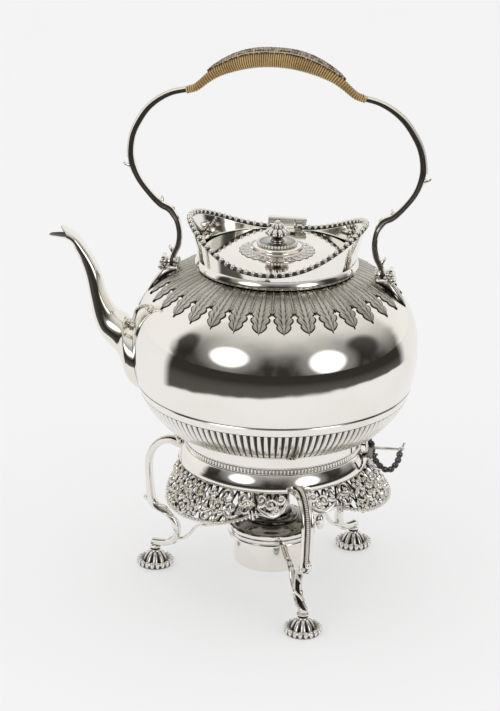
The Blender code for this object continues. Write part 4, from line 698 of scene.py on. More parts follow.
def bead_row(path: np.ndarray, count: int, half_sizes: Sequence[float], finish: Finish,
             facing: object = (0.0, 0.0, 1.0), closed: bool = False, columns: int = 8,
             rows: int = 6, wire: float = 0.0) -> bpy.types.Mesh:
    """String beads, or the links of a chain, along a path.

    Args:
        path: Points of the path.
        count: Number of beads.
        half_sizes: Half length, half width and half height of a bead.
        finish: Finish of the beads.
        facing: Direction of a bead's height, one for all or one for each point.
        closed: Whether the path returns to its start.
        columns: Fineness of a bead round its middle.
        rows: Fineness of a bead along its height.
        wire: Radius of a link's wire, or nothing for beads.

    Returns:
        One mesh with all beads.
    """
    mesh = bpy.data.meshes.new("row")
    points = path * MM + np.array((AXIS_X, 0, 0))
    edges = [(index, index + 1) for index in range(len(path) - 1)]
    mesh.from_pydata(points.tolist(), edges + [(len(path) - 1, 0)] * closed, [])
    towards = np.broadcast_to(np.asarray(facing, float), points.shape)
    mesh.attributes.new("facing", "FLOAT_VECTOR", "POINT").data.foreach_set(
        "vector", towards.astype(np.float32).ravel())
    return tidy_mesh(grown(mesh, ROW_TREE, {
        "Count": count, "Half sizes": Vector(half_sizes) * MM, "Columns": columns, "Rows": rows,
        "Wire": wire * MM, "Link": wire > 0, "Finish": FINISHES.material(finish)}), 75)


def softened(node: str, finish: Finish, body: str, edge: float = 0.35) -> bpy.types.Object:
    """Replace a plain metal node by a copy of it with rounded edges, in millimetres."""
    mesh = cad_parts[node].data.copy()
    bm = bmesh.new()
    bm.from_mesh(mesh)
    bmesh.ops.remove_doubles(bm, verts=bm.verts[:], dist=2e-6)
    bmesh.ops.dissolve_limit(bm, angle_limit=math.radians(2), verts=bm.verts[:],
                             edges=bm.edges[:])
    sharp = [item for item in bm.edges if item.is_manifold
             and item.calc_face_angle(0) > math.radians(30)]
    bmesh.ops.bevel(bm, geom=sharp, offset=edge * MM, segments=2, profile=0.6,
                    affect="EDGES", clamp_overlap=True)
    bm.to_mesh(mesh)
    bm.free()
    if "custom_normal" in mesh.attributes:
        mesh.attributes.remove(mesh.attributes["custom_normal"])
    return add_piece(node + "_rounded", tidy_mesh(mesh, 50), finish, body, node)


def dress_node(node: str, finish: Finish) -> None:
    """Give a CAD node that stays a better material."""
    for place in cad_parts[node].material_slots:
        place.material = FINISHES.material(finish)
    LOG.info("node %s stays, in %s", node, finish.value[0])


# Sub-assemblies


@dataclass
class Kettle:
    """Body of the kettle with its shoulder leaves, flutes, foot band and neck ring."""

    radius: float = 95.0
    roundness: float = 2.4
    centre: float = 174.0
    upper: float = 59.5
    lower: float = 73.0
    wall: float = 1.2
    mouth: float = 46.0
    line_height: float = 149.0
    flute_top: float = 142.4
    flute_bottom: float = 121.0
    flutes: int = 124
    leaves: int = 32
    neck_bottom: float = 226.985
    foot_bottom: float = 108.3
    cove: tuple = ((73.6, 121.1), (69.5, 120.2), (66, 118.8), (63.2, 117.4), (61.6, 115.4),
                   (61.1, 112.6), (60.85, 110.2), (60.7, 108.3))

    def surface(self, slope: np.ndarray, inset: float = 0.0) -> np.ndarray:
        """Radius and height of the body at slopes from straight up to straight down."""
        power = 2 / self.roundness
        half = np.where(slope > 0, self.upper, self.lower) - inset
        return np.stack((
            (self.radius - inset) * np.abs(np.cos(slope)) ** power,
            self.centre + half * np.sign(slope) * np.abs(np.sin(slope)) ** power), axis=-1)

    def radius_at(self, height: object) -> np.ndarray:
        """Radius of the body's outer surface at a height."""
        rise = np.asarray(height, float) - self.centre
        half = np.where(rise > 0, self.upper, self.lower)
        share = np.clip(1 - np.abs(rise / half) ** self.roundness, 0, None)
        return self.radius * share ** (1 / self.roundness)

    def shoulder(self, radius: object) -> np.ndarray:
        """Height of the body's upper surface at a radius."""
        share = np.clip(1 - (np.asarray(radius, float) / self.radius) ** self.roundness, 0, None)
        return self.centre + self.upper * share ** (1 / self.roundness)

    def build(self) -> None:
        """Build all pieces of the kettle's body."""
        self.build_body()
        self.build_flutes()
        self.build_leaves()
        self.build_bands()

    def build_body(self) -> None:
        """Polished hollow body with a fine line above the flutes."""
        rise = (float(self.shoulder(self.mouth)) - self.centre) / self.upper
        start = math.asin(rise ** (self.roundness / 2))
        outer = self.surface(np.linspace(start, -math.pi / 2, 220))
        height = outer[:, 1]
        line = bump(height, self.line_height, 0.55)
        band = (height < self.line_height - 0.4) & (height > self.flute_top)
        sunk = (height < self.flute_top) & (height > self.flute_bottom)
        outer[:, 0] += 0.3 * band - 0.45 * line - 1.3 * sunk
        below = height <= self.flute_bottom
        limit = np.interp(height, *np.array(self.cove)[::-1, ::-1].T) - 0.4
        outer[below, 0] = np.minimum(outer[below, 0], limit[below])
        inner = self.surface(np.linspace(-math.pi / 2, start, 60), self.wall + 0.4)
        inner[-1, 0] = self.mouth
        # Painted shade in the fine groove, on the sunk zone behind the flutes and on the inner wall.
        shade = np.concatenate((np.clip(0.9 * line + 0.7 * sunk, 0, 1), np.full(60, 0.25)))
        Form().lathe(np.vstack((outer, inner)), 256, shade).piece(
            "kettle_bowl", Finish.POLISHED, "kettle", "kettle_body")

    def build_flutes(self) -> None:
        """Ring of wedge-shaped flutes on the lower bowl, with painted shade in their hollows and on their
        hidden backs.
        """
        share = np.array((0, 0.001, 0.03, 0.06, *np.linspace(0.1, 0.9, 15), 0.94, 0.97, 1))
        height = self.flute_top + (self.flute_bottom - self.flute_top) * share
        half = 0.56 - 0.30 * share
        inside = np.array((-1, -0.8, -0.5, 0, 0.5, 0.8, 1))
        ridge = np.stack((-np.ones_like(half), -(1 + half) / 2), axis=-1)
        across = np.hstack((ridge, half[:, None] * inside, -ridge[:, ::-1]))
        deep = np.clip(1 - (across / half[:, None]) ** 2, 0, 1) ** 0.6
        deep *= ((share > 0.0005) * bump(share, 0.9, 0.1) ** (share > 0.9))[:, None]
        crown = 0.25 + 0.25 * bump(np.abs(across), 1, 1 - 0.26)
        radius = self.radius_at(height)[:, None] + np.where(deep > 0, 0, crown) - 1.0 * deep
        back = self.radius_at(height[::-1])[:, None] - 1.9 + 0 * radius
        turn = np.vstack((across, across[::-1])) * math.pi / self.flutes
        pairs = np.stack((np.vstack((radius, back)),
                          np.concatenate((height, height[::-1]))[:, None] + 0 * turn), axis=-1)
        shade = np.vstack((0.86 * deep ** 0.7, np.ones_like(back)))
        form = Form().grid(rotated(pairs, turn), shade, around=False, closed=True)
        add_piece("bowl_flutes", ring_copies(form, self.flutes, Finish.CHASED), Finish.CHASED,
                  "kettle")

    def build_leaves(self) -> None:
        """Engraved leaves that hang from the neck ring over the shoulder, in two lengths."""
        for name, reach, width, first in (("shoulder_leaves", 82.5, 0.96, 0.0),
                                          ("shoulder_leaves_between", 71.5, 0.5, 0.5)):
            form = self.leaf(53.0, reach, width * math.pi / self.leaves)
            mesh = ring_copies(form, self.leaves, Finish.ENGRAVED,
                               first * TAU / self.leaves)
            add_piece(name, mesh, Finish.ENGRAVED, "kettle")

    def leaf(self, start: float, end: float, half_angle: float) -> Form:
        """One chased leaf from a start to an end radius, with side lobes at its tip."""
        along = np.linspace(0, 1, 52)[:, None]
        across = np.linspace(-1, 1, 19)[None]
        tip = np.clip((along - 0.55) / 0.45, 0, 1)
        lobes = np.abs(np.sin(math.pi * (3 * tip ** 0.9))) ** 0.55
        envelope = np.where(tip < 0.15, 1.0, bump(tip, 0.15, 0.8501) ** 1.1)
        width = envelope * np.where(along < 0.55, 1.0, 0.62 + 0.38 * lobes)
        reach = start + (end - start) * along
        ribs = np.abs(np.cos(math.pi * 3 * across)) ** 0.7
        slant = np.abs(np.sin(math.pi * (along * 8 + 2.6 * np.abs(across)))) ** 0.8
        veins = ribs + (slant - ribs) * np.clip(1.5 * along - 0.35, 0, 0.75)
        stalk = np.clip(1 - (across / (0.24 - 0.1 * along)) ** 2, 0, 1)
        crown = np.sqrt(np.clip(1 - across ** 2, 0, 1))
        lift = 0.25 + 0.55 * crown * (0.45 + 0.55 * veins) + 0.45 * stalk * (1 - 0.5 * along)
        lift = lift + 0.5 * tip * crown
        reach = reach + 1.3 * tip * (1 - np.abs(across)) * (1 - lobes)
        angle = half_angle * width * across
        top = rotated(np.stack((reach + 0 * across, self.shoulder(reach) + lift), axis=-1), angle)
        low = top.copy()
        low[..., 2] = self.shoulder(reach) - 0.5
        # Painted shade and patina in the veins and grooves, along the edges, in the notches of the tip and
        # beside the stalk.
        groove = (1 - veins) * (1 - stalk) * crown
        edge = np.clip((np.abs(across) - 0.78) / 0.16, 0, 1)
        notch = (1 - lobes) * tip * 0.7 * np.abs(across)
        beside = np.exp(-((np.abs(across) - 0.27) / 0.07) ** 2)
        shade = np.clip(0.85 * groove + 0.95 * edge + notch + 0.6 * beside, 0, 1)
        return Form().plate(top, low, shade)

    def build_bands(self) -> None:
        """Plain cove under the flutes, and the stepped neck ring with the lid's collar."""
        cove = smooth(self.cove, 4)
        inner = [(56.5, self.foot_bottom), (57.5, 112), (59, 116), (63, 118.6), (72, 120.4)]
        profile = np.vstack((cove, inner))
        # Painted shade at the top of the cove, under the flutes.
        shade = [0.6, 0.3] + [0.0] * (len(profile) - 2)
        Form().lathe(profile, 144, shade).piece("kettle_foot", Finish.POLISHED, "kettle",
                                                "foot_band")
        base = self.neck_bottom
        arch = smooth([(51.6, base + 7.6), (52.5, base + 7.2), (53.3, base + 6.1),
                       (53.9, base + 4.7), (54.1, base + 3.4), (53.6, base + 2.2),
                       (52.4, base + 1.2)], 4)
        profile = [(49.2, base + 9.4), (49.2, base + 6.2), *arch, (50.5, base + 1.5),
                   (47.8, base + 2.2), (47.8, base + 9.4)]
        # Painted shade in the step above the arch and in the tuck under it.
        shade = [0, 0.2, 0.5] + [0] * (len(arch) - 3) + [0.4, 0.9, 0.7, 0, 0]
        Form().lathe(profile, 144, shade).piece("neck_moulding", Finish.POLISHED, "kettle",
                                                "neck_ring")


@dataclass
class Gallery:
    """Flaring wall round the lid, drawn out and raised at both ends, with its beads."""

    base_radius: float = 51.9
    bottom: float = 229.685
    half_length: float = 58.2
    half_width: float = 53.0
    roundness: float = 1.82
    rim: float = 238.985
    corner_rise: float = 20.7
    sharpness: float = 2.5
    wall: float = 1.0
    bead: float = 2.0
    beads: int = 72

    def rim_path(self, count: int, inset: float = 0.0) -> np.ndarray:
        """Points of the rim at even angles."""
        turn = TAU * np.arange(count) / count
        length, width = self.half_length - inset, self.half_width - inset
        reach = ((np.abs(np.cos(turn)) / length) ** self.roundness
                 + (np.abs(np.sin(turn)) / width) ** self.roundness) ** (-1 / self.roundness)
        rise = self.rim + self.corner_rise * np.abs(np.cos(turn)) ** self.sharpness
        return rotated(np.stack((reach, rise), axis=-1), turn)

    def build(self) -> None:
        """Build the wall and its beads."""
        count = 216
        turn = TAU * np.arange(count) / count
        rows = []
        for inset, shares in ((0.0, np.linspace(0, 1, 12)), (self.wall, np.linspace(1, 0, 12))):
            base = rotated((self.base_radius - inset, self.bottom), turn)
            top = self.rim_path(count, inset) - UP * (self.bead + 0.2)
            for share in shares:
                ring = base + (top - base) * share ** 1.3
                ring[:, 2] = base[:, 2] + (top[:, 2] - base[:, 2]) * share
                rows.append(ring)
        form = Form().grid(np.array(rows), closed=True)
        path = self.rim_path(count)
        outward = unit(path * np.array((1, 1, 0)))
        wire = []
        for corner in np.linspace(0, TAU, 8, endpoint=False):
            wire.append(path + outward * 1.45 * math.cos(corner)
                        + UP * (1.45 * math.sin(corner) - self.bead * 0.3))
        # The rolled wire under the beads is painted dark as shade.
        form.grid(np.array(wire), 0.95, closed=True)
        form.piece("gallery_wall", Finish.POLISHED, "kettle", "gallery")
        mesh = bead_row(path, self.beads + 1, (1.72, self.bead, self.bead), Finish.CHASED,
                        outward + UP, closed=True, columns=14, rows=10)
        add_piece("gallery_pearls", mesh, Finish.CHASED, "kettle", "gallery_beads")


@dataclass
class Lid:
    """Lid plate with its engraved ring, drum, beaded disc, flower finial and hinge."""

    top: float = 238.385
    bottom: float = 236.685
    finial_base: float = 245.9
    hinge: tuple = (51.5, 243.8, 2.65)
    lobes: int = 24

    def build(self) -> None:
        """Build the lid's pieces."""
        top = self.top
        profile = [(0, top + 0.5), (16, top + 0.4), (34, top + 0.15), (46, top), (48.6, top),
                   (49.2, top - 0.6), (49.2, self.bottom), (47.2, self.bottom), (47.2, 234.1),
                   (46, 234.1), (46, top - 1.2), (0, top - 1.2)]
        Form().lathe(profile, 128, closed=False).piece("lid_dish", Finish.POLISHED, "lid",
                                                       "lid_plate")
        self.build_engraving()
        self.build_boss()
        self.build_finial()
        self.build_hinge()
        dress_node("lid_hinge_pin", Finish.BRASS)

    def build_hinge(self) -> None:
        """Leaf of the hinge with its middle barrel, and the two barrels of the gallery."""
        behind, height, radius = self.hinge
        for name, body, node, ends in (
                ("lid_hinge_leaf_round", "lid", "lid_hinge_leaf", (-5.1, 5.1)),
                ("gallery_barrel_left", "kettle", "gallery_knuckle_left", (-13.0, -5.45)),
                ("gallery_barrel_right", "kettle", "gallery_knuckle_right", (5.45, 13.0))):
            steps = np.array((0, 0.25, 0.25, 0)) + np.array((ends[0], ends[0], ends[1], ends[1]))
            steps[2] -= 0.5
            line = np.array([(x, behind, height) for x in steps])
            size = radius * np.array((0.9, 1, 1, 0.9))
            form = Form().sweep(line, UP, size, size, sides=32)
            if body == "lid":
                rise = smooth([(38.5, 239.0), (44, 239.0), (46.6, 239.5), (48.2, 240.7),
                               (49.2, 242.4)], 5)
                half = np.interp(rise[:, 0], (38.5, 45.5, 46.5, 52), (11, 11, 5, 4.9))
                across = np.linspace(-1, 1, 5)[None]
                top = np.stack((half[:, None] * across, rise[:, :1] + 0 * across,
                                rise[:, 1:] + 0.5 + 0 * across), axis=-1)
                # The leaf is painted a little darker as shade under the barrel.
                form.plate(top, top - UP * 1.0, 0.15)
            form.piece(name, Finish.POLISHED, body, node)

    def build_engraving(self) -> None:
        """Ring of chased lobes on the lid plate."""
        along = np.linspace(0, 1, 22)[:, None]
        across = np.linspace(-1, 1, 13)[None]
        width = np.where(along < 0.8, 1.0, bump(along, 0.8, 0.2001))
        reach = 16.6 + 8.6 * along
        angle = (math.pi / self.lobes) * width * across
        curls = np.abs(np.sin(math.pi * (3.2 * along + 1.3 * np.abs(across))))
        crown = np.sqrt(np.clip(1 - (across * 0.98) ** 2, 0, 1))
        height = self.top + 0.4 + 0.45 * crown * curls
        top = rotated(np.stack((reach + 0 * across, height), axis=-1), angle)
        low = top.copy()
        low[..., 2] = self.top - 0.3
        # Painted shade and patina in the chased grooves and along the lobes' edges.
        shade = np.clip(0.8 * (1 - curls) + 0.9 * (np.abs(across) > 0.9), 0, 1)
        mesh = ring_copies(Form().plate(top, low, shade), self.lobes, Finish.CHASED)
        add_piece("lid_petals", mesh, Finish.CHASED, "lid")

    def build_boss(self) -> None:
        """Coved drum and the beaded disc on it."""
        base = self.top + 0.3
        drum = [(0, base + 4.2), (15.2, base + 4.2), (15.9, base + 3.8), (15.9, base + 2.4),
                (16.1, base + 1.7), (16.7, base + 1.2), (17.2, base + 0.9), (17.3, base + 0.5),
                (17.3, base), (0, base)]
        # Painted shade in the drum's cove.
        Form().lathe(drum, 96, [0, 0, 0, 0, 0.2, 0.6, 0, 0, 0, 0], False).piece(
            "lid_boss", Finish.POLISHED, "lid", "lid_drum")
        base += 4.5
        disc = [(0, base + 2.4), (8, base + 2.3), (11.4, base + 1.7), (12.4, base + 1.2),
                (12.4, base + 0.5), (12.0, base), (0, base)]
        ring = rotated((12.5, base + 1.15), TAU * np.arange(96) / 96)
        beads = bead_row(ring, 37, (1.05, 1.2, 1.1), Finish.CHASED, closed=True)
        # Painted shade on the disc's bevel, darkest under its beads.
        Form().lathe(disc, 64, [0.3, 0.5, 0.6, 0.9, 0.6, 0, 0], False).piece(
            "lid_beaded_disc", Finish.CHASED, "lid", "lid_disc", extra=[beads])

    def build_finial(self) -> None:
        """Flower of two skirts of lobes and a bud, on a waisted stem."""
        base = self.finial_base
        # Painted shade on the waisted stem.
        form = Form().lathe([(0, base), (4.9, base), (4.9, base + 0.8), (3.6, base + 1.5),
                             (2.4, base + 2.4), (2.2, base + 4.2), (3.0, base + 5.6),
                             (0, base + 6)], 32, [0, 0, 0.2, 0.6, 0.8, 0.8, 0.7, 0.7], False)
        for lobes, radius, foot, height, phase in ((11, 8.3, 4.1, 4.6, 0.0),
                                                   (8, 4.4, 8.6, 3.2, 0.4)):
            turn = TAU * np.arange(132) / 132
            wave = np.abs(np.cos(lobes * turn / 2 + phase)) ** 0.5
            skirt = [(0.30, 1.0), (0.55, 0.95), (0.80, 0.74), (0.95, 0.45), (1.0, 0.2),
                     (0.96, 0.04), (0.86, 0.0), (0.6, 0.25), (0.3, 0.4)]
            rows, shades = [], []
            for share, rise in skirt:
                reach = radius * share * (1 - 0.24 * share * (1 - wave))
                rows.append(rotated(np.stack((reach, base + foot + height * rise + 0 * reach),
                                             axis=-1), turn))
                # Painted shade between the lobes and on the skirts' inner rows.
                shades.append(np.clip(1.3 * share * (1 - wave) + 0.5 * (share < 0.4), 0, 1))
            form.grid(np.array(rows), np.array(shades), caps=True)
        # The bud gets a little painted shade.
        form.ball((0, 0, base + 12.0), (1.9, 1.9, 1.6), tarnish=0.1)
        form.piece("flower_finial", Finish.CHASED, "lid", "finial")


@dataclass
class Spout:
    """Swan-neck spout with its open beak, and the straps that flank its root."""

    reach: float = 153.7
    foot: float = 108.3
    rise: float = 131.8
    half_width: float = 26.0
    wall: float = 1.2
    cheek: float = 4.6
    stations: tuple = (
        (.500, .165, .540, .515, 1.00), (.623, .254, .641, .548, .85),
        (.686, .395, .658, .590, .58), (.761, .482, .690, .611, .42),
        (.797, .571, .712, .636, .34), (.817, .683, .745, .706, .29),
        (.836, .797, .770, .810, .265), (.855, .866, .791, .868, .25),
        (.882, .930, .826, .935, .25), (.911, .982, .872, 1.006, .26),
        (1.00, 1.00, .9356, 1.056, .24))
    strap: tuple = ((.34, 0), (.2, .3), (.42, .62), (.7, .88), (.95, 1.0), (1.04, .9),
                    (.98, .8), (.9, .86))

    def build(self, kettle: Kettle) -> None:
        """Build the spout and its straps on the kettle's body."""
        turn = TAU * np.arange(48) / 48
        path = smooth(self.stations, 7)
        place = np.arange(len(path))
        skins = []
        for inset in (0.0, self.wall):
            back = self.cheek * np.abs(np.sin(turn)) ** 2.5
            spots = np.minimum(place[:, None], len(path) - 1 - back[None])
            value = [np.interp(spots, place, path[:, index]) for index in range(5)]
            low = np.stack((-self.reach * value[0], 0 * spots,
                            self.foot + self.rise * value[1]), axis=-1)
            high = np.stack((-self.reach * value[2], 0 * spots,
                             self.foot + self.rise * value[3]), axis=-1)
            along = low - high
            half = np.linalg.norm(along, axis=-1) / 2 - inset
            wide = self.half_width * value[4] - inset
            flat = np.sign(np.sin(turn)) * np.abs(np.sin(turn)) ** 0.8
            tall = np.sign(np.cos(turn)) * np.abs(np.cos(turn)) ** 0.88
            skin = ((low + high) / 2 + unit(along) * (half * tall)[..., None]
                    + SIDE * (wide * flat)[..., None])
            skins.append(skin if inset == 0 else skin[::-1])
        # Painted shade on the spout's inner wall.
        shade = np.repeat((0.0, 0.85), len(path))[:, None] + 0 * turn
        form = Form().grid(np.concatenate(skins), shade, closed=True)
        mesh = cut_to_body(form.mesh(), kettle)
        add_piece("swan_neck_spout", mesh, Finish.POLISHED, "kettle", "spout")
        self.build_straps(kettle)

    def build_straps(self, kettle: Kettle) -> None:
        """Flat straps that run up the body from the spout's root and curl at their ends."""
        shares = smooth(self.strap, 8)
        for sign, name in ((-1, "front"), (1, "back")):
            height = self.foot + 78.7 + 20 * shares[:, 1]
            turn = math.pi - sign * math.radians(26) * shares[:, 0]
            path = rotated(np.stack((kettle.radius_at(height) + 1.0, height), axis=-1), turn)
            outward = unit(path * np.array((1, 1, 0.35)))
            form = Form().sweep(path, outward, np.linspace(1.5, 0.8, len(path)), 1.0)
            form.ball(path[-1], 1.5).ball(path[0], 1.6)
            for x, z, size in ((-92, 181.5, 2.2), (-95.5, 183.2, 2.4), (-99, 182.4, 2.0),
                               (-102, 184.6, 1.5), (-89.5, 184.5, 1.6)):
                # The acanthus knobs get a little painted shade.
                form.ball((x, sign * -1.6, z), (size, size * 0.9, size * 0.8), tarnish=0.1)
            form.piece("spout_strap_" + name, Finish.CHASED, "kettle", "spout_scroll_" + name)


def cut_to_body(mesh: bpy.types.Mesh, kettle: Kettle) -> bpy.types.Mesh:
    """Cut a mesh where it runs into the kettle's body."""
    profile = kettle.surface(np.linspace(math.pi / 2, -math.pi / 2, 90)) + np.array((0.25, 0))
    cutter = bpy.data.objects.new("cutter", Form().lathe(profile, 128, closed=False).mesh())
    target = bpy.data.objects.new("target", mesh)
    for item in (cutter, target):
        bpy.context.scene.collection.objects.link(item)
    modifier = target.modifiers.new("Cut", "BOOLEAN")
    modifier.operation = "DIFFERENCE"
    modifier.object = cutter
    graph = bpy.context.evaluated_depsgraph_get()
    graph.update()
    result = bpy.data.meshes.new_from_object(target.evaluated_get(graph))
    for item in (cutter, target):
        bpy.data.objects.remove(item, do_unlink=True)
    return tidy_mesh(result, 60)


@dataclass
class Handle:
    """Swing handle: scrolled arms, their brackets, the cane grip and its woven strip."""

    half_width: float = 95.694
    rise: float = 141.2
    lean: float = 3.8
    pivot: float = 226.576
    pivot_radius: float = 70.0
    thickness: float = 4.3
    width: float = 5.0
    grip_half: float = 56.7
    turns: int = 84
    arm: tuple = (
        (.598, .834, .9), (.705, .815, .9), (.794, .783, .95), (.873, .737, 1), (.935, .677, 1),
        (.980, .613, 1), (1, .542, 1), (.995, .475, 1.1), (.954, .401, 1), (.880, .332, 1),
        (.805, .282, 1.15), (.744, .260, 1.2), (.712, .232, 1.1), (.689, .198, .95),
        (.676, .141, .95), (.688, .084, .95), (.716, .042, .95), (.7315, 0, .95))
    grip: tuple = ((0, 1, 1), (.22, .994, 1), (.43, .972, .93), (.64, .933, .73),
                   (.78, .891, .56), (.91, .8475, .50), (1, .834, .48))

    leaf: tuple = ((64.2, 3.5, 3.6), (70, 5.5, 4.2), (74.8, 6.6, 4.7), (78, 6.0, 4.8),
                   (81.5, 4.6, 4.1), (84.2, 3.2, 2.8), (86.2, 1.2, 0.8))
    side_leaf: tuple = ((68, 2.0, 2.0), (73, 3.2, 2.4), (77, 3.0, 2.3), (80.5, 1.8, 1.4),
                        (82, 0.6, 0.4))

    def place(self, out: object, up: object, sign: int) -> np.ndarray:
        """Place on the handle's centre line."""
        out, up = np.asarray(out, float), np.asarray(up, float)
        return np.stack((sign * self.half_width * out - self.lean * up, 0 * up,
                         self.pivot + self.rise * up), axis=-1)

    def build(self, kettle: Kettle) -> None:
        """Build the handle's pieces and the brackets that carry it."""
        for sign, name in ((-1, "left"), (1, "right")):
            self.build_arm(sign, name)
            self.build_bracket(sign, name, kettle)
        self.build_grip()

    def build_arm(self, sign: int, name: str) -> None:
        """One scrolled arm with a beaded outer edge, spurs and its knuckle."""
        path = smooth(self.arm, 8)
        line = self.place(path[:, 0], path[:, 1], sign)
        swell = path[:, 2]
        outline = np.array([(1, -.55), (1.05, 0), (1, .55), (.7, .9), (.2, .8), (-.2, .95),
                            (-.8, .8), (-1, .3), (-1, -.3), (-.8, -.8), (-.2, -.95),
                            (.2, -.8), (.7, -.9)])
        # Painted shade in the grooves along the arm's sides.
        shade = np.array((.1, .1, .1, 0, .5, 0, 0, .1, .1, 0, 0, .5, 0))
        form = Form().sweep(line, -sign * SIDE, swell * self.thickness / 2,
                            swell * self.width / 2, outline, tarnish=shade[None])
        pin = np.array((sign * self.pivot_radius, 0, self.pivot))
        barrel = np.array([pin + np.array((step, 0, 0)) for step in
                           (-3, -2.5, -1.1, -0.9, 0.9, 1.1, 2.5, 3)])
        radius = np.array((3.3, 3.8, 3.8, 3.4, 3.4, 3.8, 3.8, 3.3))
        # Painted shade in the waist of the barrel.
        form.sweep(barrel, SIDE, radius, radius, sides=28,
                   tarnish=np.array((0, 0, 0, .8, .8, 0, 0, 0))[:, None])
        run = unit(np.gradient(line, axis=0))
        outward = np.cross(run, SIDE) * sign
        for index, side_of, size in ((58, 1, 4.2), (80, -1, 2.6), (127, 1, 3.4)):
            way = outward[index] * side_of
            start = line[index] + way * 1.2
            tip = smooth([start, start + way * (1.0 + size * 0.3) - run[index] * size * 0.4,
                          start + way * (1.4 + size * 0.55) - run[index] * size * 0.6,
                          start + way * (2.2 + size * 0.5) - run[index] * size * 1.0], 5)
            taper = np.linspace(1.8, 0.45, len(tip))
            form.sweep(tip, SIDE, taper, taper * 1.1, sides=8)
        form.ball(line[90] + outward[90] * -1.4, (2.1, 2.4, 2.1))
        stop = 8 * 6 + 6
        edge = line[:stop] + outward[:stop] * (swell[:stop, None] * self.thickness / 2)
        beads = bead_row(edge, 60, (0.72, 1.35, 0.8), Finish.CHASED, outward[:stop])
        form.piece("handle_scroll_" + name, Finish.POLISHED, "handle", "handle_arm_" + name,
                   extra=[beads])

    def build_bracket(self, sign: int, name: str, kettle: Kettle) -> None:
        """Round cheeks that hold the arm's pin, on a foot that ends in a lobed leaf."""
        dress_node("handle_pin_" + name, Finish.BRASS)
        base = float(kettle.shoulder(self.pivot_radius))
        form = Form()
        for cheek in (-4.15, 4.15):
            steps = np.array((-0.85, -0.7, -0.2, 0.2, 0.7, 0.85)) + cheek
            disc = np.array([(sign * (self.pivot_radius + step), 0, self.pivot)
                             for step in steps])
            size = np.array((3.3, 3.8, 4.0, 4.0, 3.8, 3.3))
            form.sweep(disc, SIDE, size, size, sides=28)
            post = np.array([(sign * (self.pivot_radius + cheek), 0, height) for height in
                             np.linspace(self.pivot - 1.5, base - 0.9 - 0.25 * cheek, 5)])
            form.sweep(post, SIDE, 0.8, np.linspace(3.6, 4.4, 5), sides=12)
        for reach, rise, size in ((5.6, 3.3, 1.5), (6.4, 0.2, 2.0), (7.2, -3.4, 2.1)):
            roll = np.array([(sign * (self.pivot_radius + reach), y, self.pivot + rise)
                             for y in (-4.0, -3.8, -3.1, 0, 3.1, 3.8, 4.0)])
            swell = size * np.array((0.3, 0.7, 0.95, 1, 0.95, 0.7, 0.3))
            form.sweep(roll, UP, swell, swell, sides=14)
        across = np.linspace(-1, 1, 17)[None]
        for bend, table in ((0.0, self.leaf), (-1.0, self.side_leaf), (1.0, self.side_leaf)):
            rows = smooth(table, 5)
            x, crown, half = (rows[:, index, None] for index in range(3))
            y = half * across + bend * 3.4 * np.clip((x - 70) / 10, 0, 1.2)
            ground = kettle.shoulder(np.minimum(np.hypot(x, y), 94.2))
            ridges = 0.55 + 0.45 * np.abs(np.cos(math.pi * 1.5 * across)) ** 0.6
            height = ground + crown * ridges * (1 - 0.45 * across ** 4)
            height = np.where(x < 75.2, np.minimum(height, self.pivot - 4.3), height)
            top = np.stack((sign * x + 0 * y, y, height), axis=-1)
            low = np.stack((sign * x + 0 * y, y, ground - 0.3), axis=-1)
            # Painted shade in the leaf's valleys and along its edges.
            shade = np.clip(1.3 * (1 - ridges) + 0.8 * np.abs(across) ** 10, 0, 1)
            form.plate(top, low, shade)
        form.piece("bracket_leaf_" + name, Finish.CHASED, "kettle", "handle_bracket_" + name)

    def grip_line(self, share: np.ndarray) -> tuple[np.ndarray, np.ndarray, np.ndarray]:
        """Places, headings and swells of the grip at shares of its half length."""
        half = np.array(self.grip, float)
        whole = np.vstack((half[::-1] * np.array((-1, 1, 1)), half[1:]))
        fine = smooth(whole, 16)
        line = np.stack((self.grip_half * fine[:, 0] - self.lean * fine[:, 1], 0 * fine[:, 0],
                         self.pivot + self.rise * fine[:, 1]), axis=-1)
        heading = unit(np.gradient(line, axis=0))
        inside = np.clip(share, -1, 1)
        place, run = (np.stack([np.interp(inside, fine[:, 0], rows[:, axis])
                                for axis in range(3)], axis=-1) for rows in (line, heading))
        run = unit(run)
        place = place + run * ((share - inside) * self.grip_half)[:, None]
        return place, run, np.interp(inside, fine[:, 0], fine[:, 2])

    def build_grip(self) -> None:
        """Core, cane turns over its whole length and the woven strip on top."""
        place, run, swell = self.grip_line(np.linspace(-0.995, 0.995, 60))
        size = swell ** 1.15
        # The bed is painted in the deep cane colour as shade between the turns.
        Form().sweep(place, SIDE, 5.2 * size, 6.6 * size, sides=24, tarnish=1.0).piece(
            "grip_bed", Finish.CANE, "handle", "grip_core")
        corners = 20
        count = self.turns * corners + 1
        place, run, swell = self.grip_line(np.linspace(-1.035, 1.035, count))
        size = swell ** 1.15
        turn = TAU * np.arange(count) / corners
        path = (place + np.cross(run, SIDE) * (np.cos(turn) * (5.9 * size - 0.5))[:, None]
                + SIDE * (np.sin(turn) * (7.4 * size - 0.5))[:, None])
        outline = np.array([(1, 0), (.72, .78), (0, 1), (-.8, .7), (-.8, -.7), (0, -1),
                            (.72, -.78)])
        form = Form().sweep(path, run, 0.55, 0.64, outline)
        length = np.cumsum(np.linalg.norm(np.diff(path, axis=0, prepend=path[:1]), axis=1))
        form.weave[-1] = np.stack((np.repeat(length, 7), np.tile(np.arange(7) * 0.5, count)),
                                  axis=-1)
        # Painted shade along both sides of each turn, where the turns meet.
        form.tarnish[-1] = np.tile(np.where(np.abs(outline[:, 1]) > 0.75, 1.0, 0.0), count)
        form.piece("cane_winding", Finish.CANE, "handle", "grip_winding")
        self.build_strip()

